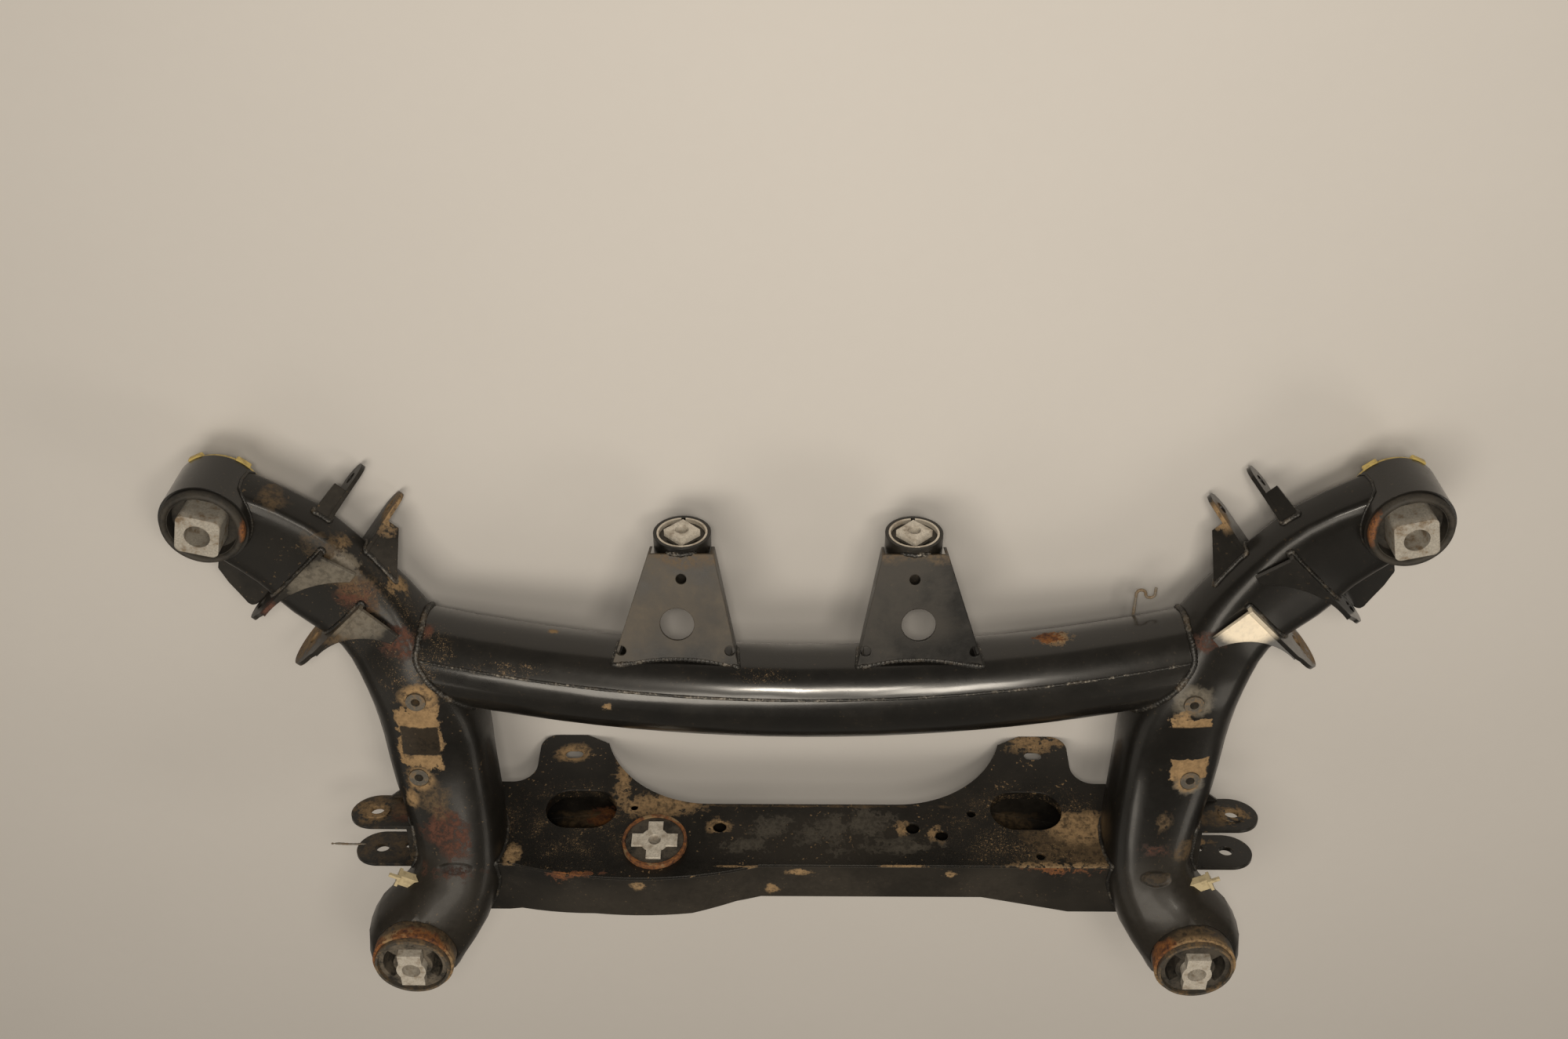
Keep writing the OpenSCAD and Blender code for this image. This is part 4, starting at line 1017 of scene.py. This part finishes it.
class SUBFRAME_OT_link_plates(bpy.types.Operator):
    """Finish the link ears and fingers on the two arms, and stand finer plates in for the tabs"""

    bl_idname = "subframe.link_plates"
    bl_label = "Link ears, fingers and tabs"

    def execute(self, context):
        paints = {
            # The right plates' paint holds that bare patch with its painted glint
            "left": painted_steel("left link plate paint", LEFT_EAR_MARKS, 0.5, 0.3, 0.36),
            "right": painted_steel("right link plate paint", RIGHT_EAR_MARKS, 0.2, 0.1, 0.32, coat=0.6),
        }
        for side, way in (("left", -1), ("right", 1)):
            dress([f"{side}_{plate}" for plate in LINK_PLATES], paints[side])
            low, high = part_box(f"{side}_arm_tab")
            work = bmesh.new()
            outline = [(way * x / MM, y / MM) for x, y in TAB_OUTLINE]
            plate_of(work, outline, low[2], high[2], TAB_BEVEL / MM)
            tab = finish_piece(f"{side}_arm_tab_plate", work, paints[side])
            tab.data.polygons.foreach_set("use_smooth", [False] * len(tab.data.polygons))
            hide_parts(f"{side}_arm_tab")
        return {"FINISHED"}


class SUBFRAME_OT_side_clevises(bpy.types.Operator):
    """Finish the side clevises, the threaded stabiliser nuts and the wire end at the left clevis"""

    bl_idname = "subframe.side_clevises"
    bl_label = "Side clevises and nuts"

    def execute(self, context):
        dress(["left_side_clevis"], painted_steel("left clevis paint", LEFT_CLEVIS_MARKS, 0.5, 0.4, 0.36))
        dress(["right_side_clevis"], painted_steel("right clevis paint", RIGHT_CLEVIS_MARKS, 0.3, 0.25, 0.3))
        dress([f"{side}_stabiliser_nuts" for side in SIDES], worn_steel("nut steel", 0.34, 1.0))
        work = bmesh.new()
        open_bead(work, WIRE_ROUTE, radius=0.0011, pitch=0.004, step=0.001, seed=0.3)
        open_bead(work, WIRE_KNOB, radius=0.0016, pitch=0.004, step=0.0004, seed=0.8)
        finish_piece("clevis_wire_end", work, worn_steel("wire end steel", 0.4, 1.0))
        return {"FINISHED"}


class SUBFRAME_OT_clips(bpy.types.Operator):
    """Finish the broken line clips on the legs and the wire clip on the tube"""

    bl_idname = "subframe.clips"
    bl_label = "Clips"

    def execute(self, context):
        kit = settings("mounts")
        dress([f"{side}_leg_clip" for side in SIDES], moulded_plastic("line clip plastic", kit.beige, 0.3))
        dress(["wire_clip"], worn_steel("wire clip steel", 0.7, 1.0))
        return {"FINISHED"}


class SUBFRAME_OT_welds(bpy.types.Operator):
    """Lay rippled weld beads along every joint between the welded pieces"""

    bl_idname = "subframe.welds"
    bl_label = "Weld beads"

    def execute(self, context):
        sizes = settings("welds")
        plain = weld_metal("weld metal", 0.35, 0.25)
        bright = weld_metal("bright weld metal", 0.75, 0.15)
        dull = weld_metal("dull weld metal", 0.1, 0.1)
        members = [f"{s}_side_member" for s in SIDES]
        weld_round("tube_saddle_welds", [("front_cross_tube", members)], sizes.saddle, plain)
        weld_round(
            "bracket_foot_welds",
            [(f"{s}_bracket", ["front_cross_tube"]) for s in SIDES], sizes.bead, bright)
        weld_round(
            "bracket_ring_welds",
            [(f"{s}_bracket", [f"{s}_bracket_ring"]) for s in SIDES], sizes.bead, bright)
        weld_round(
            "link_plate_welds",
            [(f"{s}_{plate}", [f"{s}_side_member"]) for s in SIDES for plate in LINK_PLATES],
            sizes.bead, plain)
        weld_round(
            "clevis_welds",
            [(f"{s}_side_clevis", [f"{s}_side_member"]) for s in SIDES], sizes.bead, plain)
        weld_round(
            "crossmember_welds",
            [("crossmember_front_plate", members), ("crossmember_pan", members)], sizes.bead, plain)
        weld_round(
            "front_housing_welds",
            [(f"{s}_side_member", [f"{s}_front_housing"]) for s in SIDES], sizes.bead * 0.6, dull)
        return {"FINISHED"}


WARM_WHITE = (1.0, 0.91, 0.78)
WORLD_STRENGTH = 0.12
FLOOR_HALF = 9.0
FLOOR_GAP = 0.0005
# Lamps: name, place, aim, size and share of the light
LAMPS = (
    ("key_light", (-0.50, 0.50, 2.75), (0.0, -0.1, 0.1), (1.5, 0.9), 0.98),
    ("camera_lamp", (-0.05, 1.15, 1.46), (0.0, 0.05, 0.1), (0.12, 0.12), 0.20),
    ("second_lamp", (0.17, 1.20, 1.50), (0.1, 0.05, 0.1), (0.16, 0.16), 0.10),
    ("front_light", (0.40, 1.00, 1.68), (0.3, 0.05, 0.1), (0.30, 0.34), 0.24),
    ("left_light", (-1.8, -0.8, 1.6), (0.0, -0.1, 0.1), (1.2, 1.2), 0.12),
    ("right_light", (1.7, -0.6, 1.55), (0.0, -0.1, 0.1), (0.7, 0.7), 0.18),
)
CAMERA_PLACE = (-0.00493, 1.02839, 1.26828)
CAMERA_TURN = Matrix((
    (0.99994973, -0.00260692, 0.0096818),
    (-0.00332, 0.82505167, 0.56504754),
    (-0.00946102, -0.56505128, 0.82500154),
))


class SUBFRAME_OT_stage(bpy.types.Operator):
    """Set the floor, the soft lights and the camera"""

    bl_idname = "subframe.stage"
    bl_label = "Stage"

    def execute(self, context):
        scene = context.scene
        look = settings("stage")
        finish = Finish("pale floor")
        cloud = finish.noise(3.0, 3.0)
        grain = finish.noise(60.0, 3.0)
        tone = finish.mix(cloud * 0.7 + grain * 0.3, dark(look.floor, 0.96), dark(look.floor, 1.03))
        work = bmesh.new()
        bmesh.ops.create_grid(work, x_segments=1, y_segments=1, size=FLOOR_HALF)
        mesh = bpy.data.meshes.new("floor")
        work.to_mesh(mesh)
        work.free()
        mesh.materials.append(finish.shade({"Base Color": tone, "Roughness": 0.75}))
        floor = bpy.data.objects.new("floor", mesh)
        floor.location.z = CAD_BOX[0].z - FLOOR_GAP
        scene.collection.objects.link(floor)

        world = bpy.data.worlds.new("studio")
        world.use_nodes = True
        back = world.node_tree.nodes["Background"]
        back.inputs["Color"].default_value = (*WARM_WHITE, 1.0)
        back.inputs["Strength"].default_value = WORLD_STRENGTH
        scene.world = world

        for name, place, aim, size, share in LAMPS:
            data = bpy.data.lights.new(name, "AREA")
            data.shape = "RECTANGLE"
            data.size, data.size_y = size
            data.energy = look.light * share
            data.color = WARM_WHITE
            lamp = bpy.data.objects.new(name, data)
            lamp.location = place
            lamp.rotation_euler = (Vector(aim) - Vector(place)).to_track_quat("-Z", "Y").to_euler()
            scene.collection.objects.link(lamp)

        data = bpy.data.cameras.new("camera")
        data.sensor_fit = "HORIZONTAL"
        data.sensor_width = 36.0
        data.lens = look.focal
        data.clip_start, data.clip_end = 0.05, 50.0
        camera = bpy.data.objects.new("camera", data)
        camera.matrix_world = Matrix.Translation(CAMERA_PLACE) @ CAMERA_TURN.to_4x4()
        scene.collection.objects.link(camera)
        scene.camera = camera
        scene.view_settings.view_transform = "Standard"
        return {"FINISHED"}


class SUBFRAME_PT_panel(bpy.types.Panel):
    """Shows the subframe's settings and a button for each finishing step"""

    bl_label = "Rear subframe"
    bl_idname = "SUBFRAME_PT_panel"
    bl_space_type = "VIEW_3D"
    bl_region_type = "UI"
    bl_category = "Subframe"

    def draw(self, context):
        for group in GROUPS:
            box = self.layout.box()
            for key in GROUPS[group].__annotations__:
                box.prop(settings(group), key)
        for operator in OPERATORS:
            self.layout.operator(operator.bl_idname)


GROUPS = {"paint": SubframePaint, "mounts": SubframeMounts, "welds": SubframeWelds, "stage": SubframeStage}
OPERATORS = (
    SUBFRAME_OT_stage, SUBFRAME_OT_members, SUBFRAME_OT_cross_tube, SUBFRAME_OT_crossmember,
    SUBFRAME_OT_front_mounts, SUBFRAME_OT_rear_mounts, SUBFRAME_OT_rear_bush, SUBFRAME_OT_drive_brackets,
    SUBFRAME_OT_link_plates, SUBFRAME_OT_side_clevises, SUBFRAME_OT_clips, SUBFRAME_OT_welds,
)


def register():
    for group in GROUPS.values():
        bpy.utils.register_class(group)
    for name, group in GROUPS.items():
        setattr(bpy.types.Scene, "subframe_" + name, bpy.props.PointerProperty(type=group))
    for operator in OPERATORS:
        bpy.utils.register_class(operator)
    bpy.utils.register_class(SUBFRAME_PT_panel)


def unregister():
    bpy.utils.unregister_class(SUBFRAME_PT_panel)
    for operator in reversed(OPERATORS):
        bpy.utils.unregister_class(operator)
    for name, group in GROUPS.items():
        delattr(bpy.types.Scene, "subframe_" + name)
        bpy.utils.unregister_class(group)


def main():
    register()
    for operator in OPERATORS:
        family, name = operator.bl_idname.split(".")
        getattr(getattr(bpy.ops, family), name)()


if __name__ == "__main__":
    main()
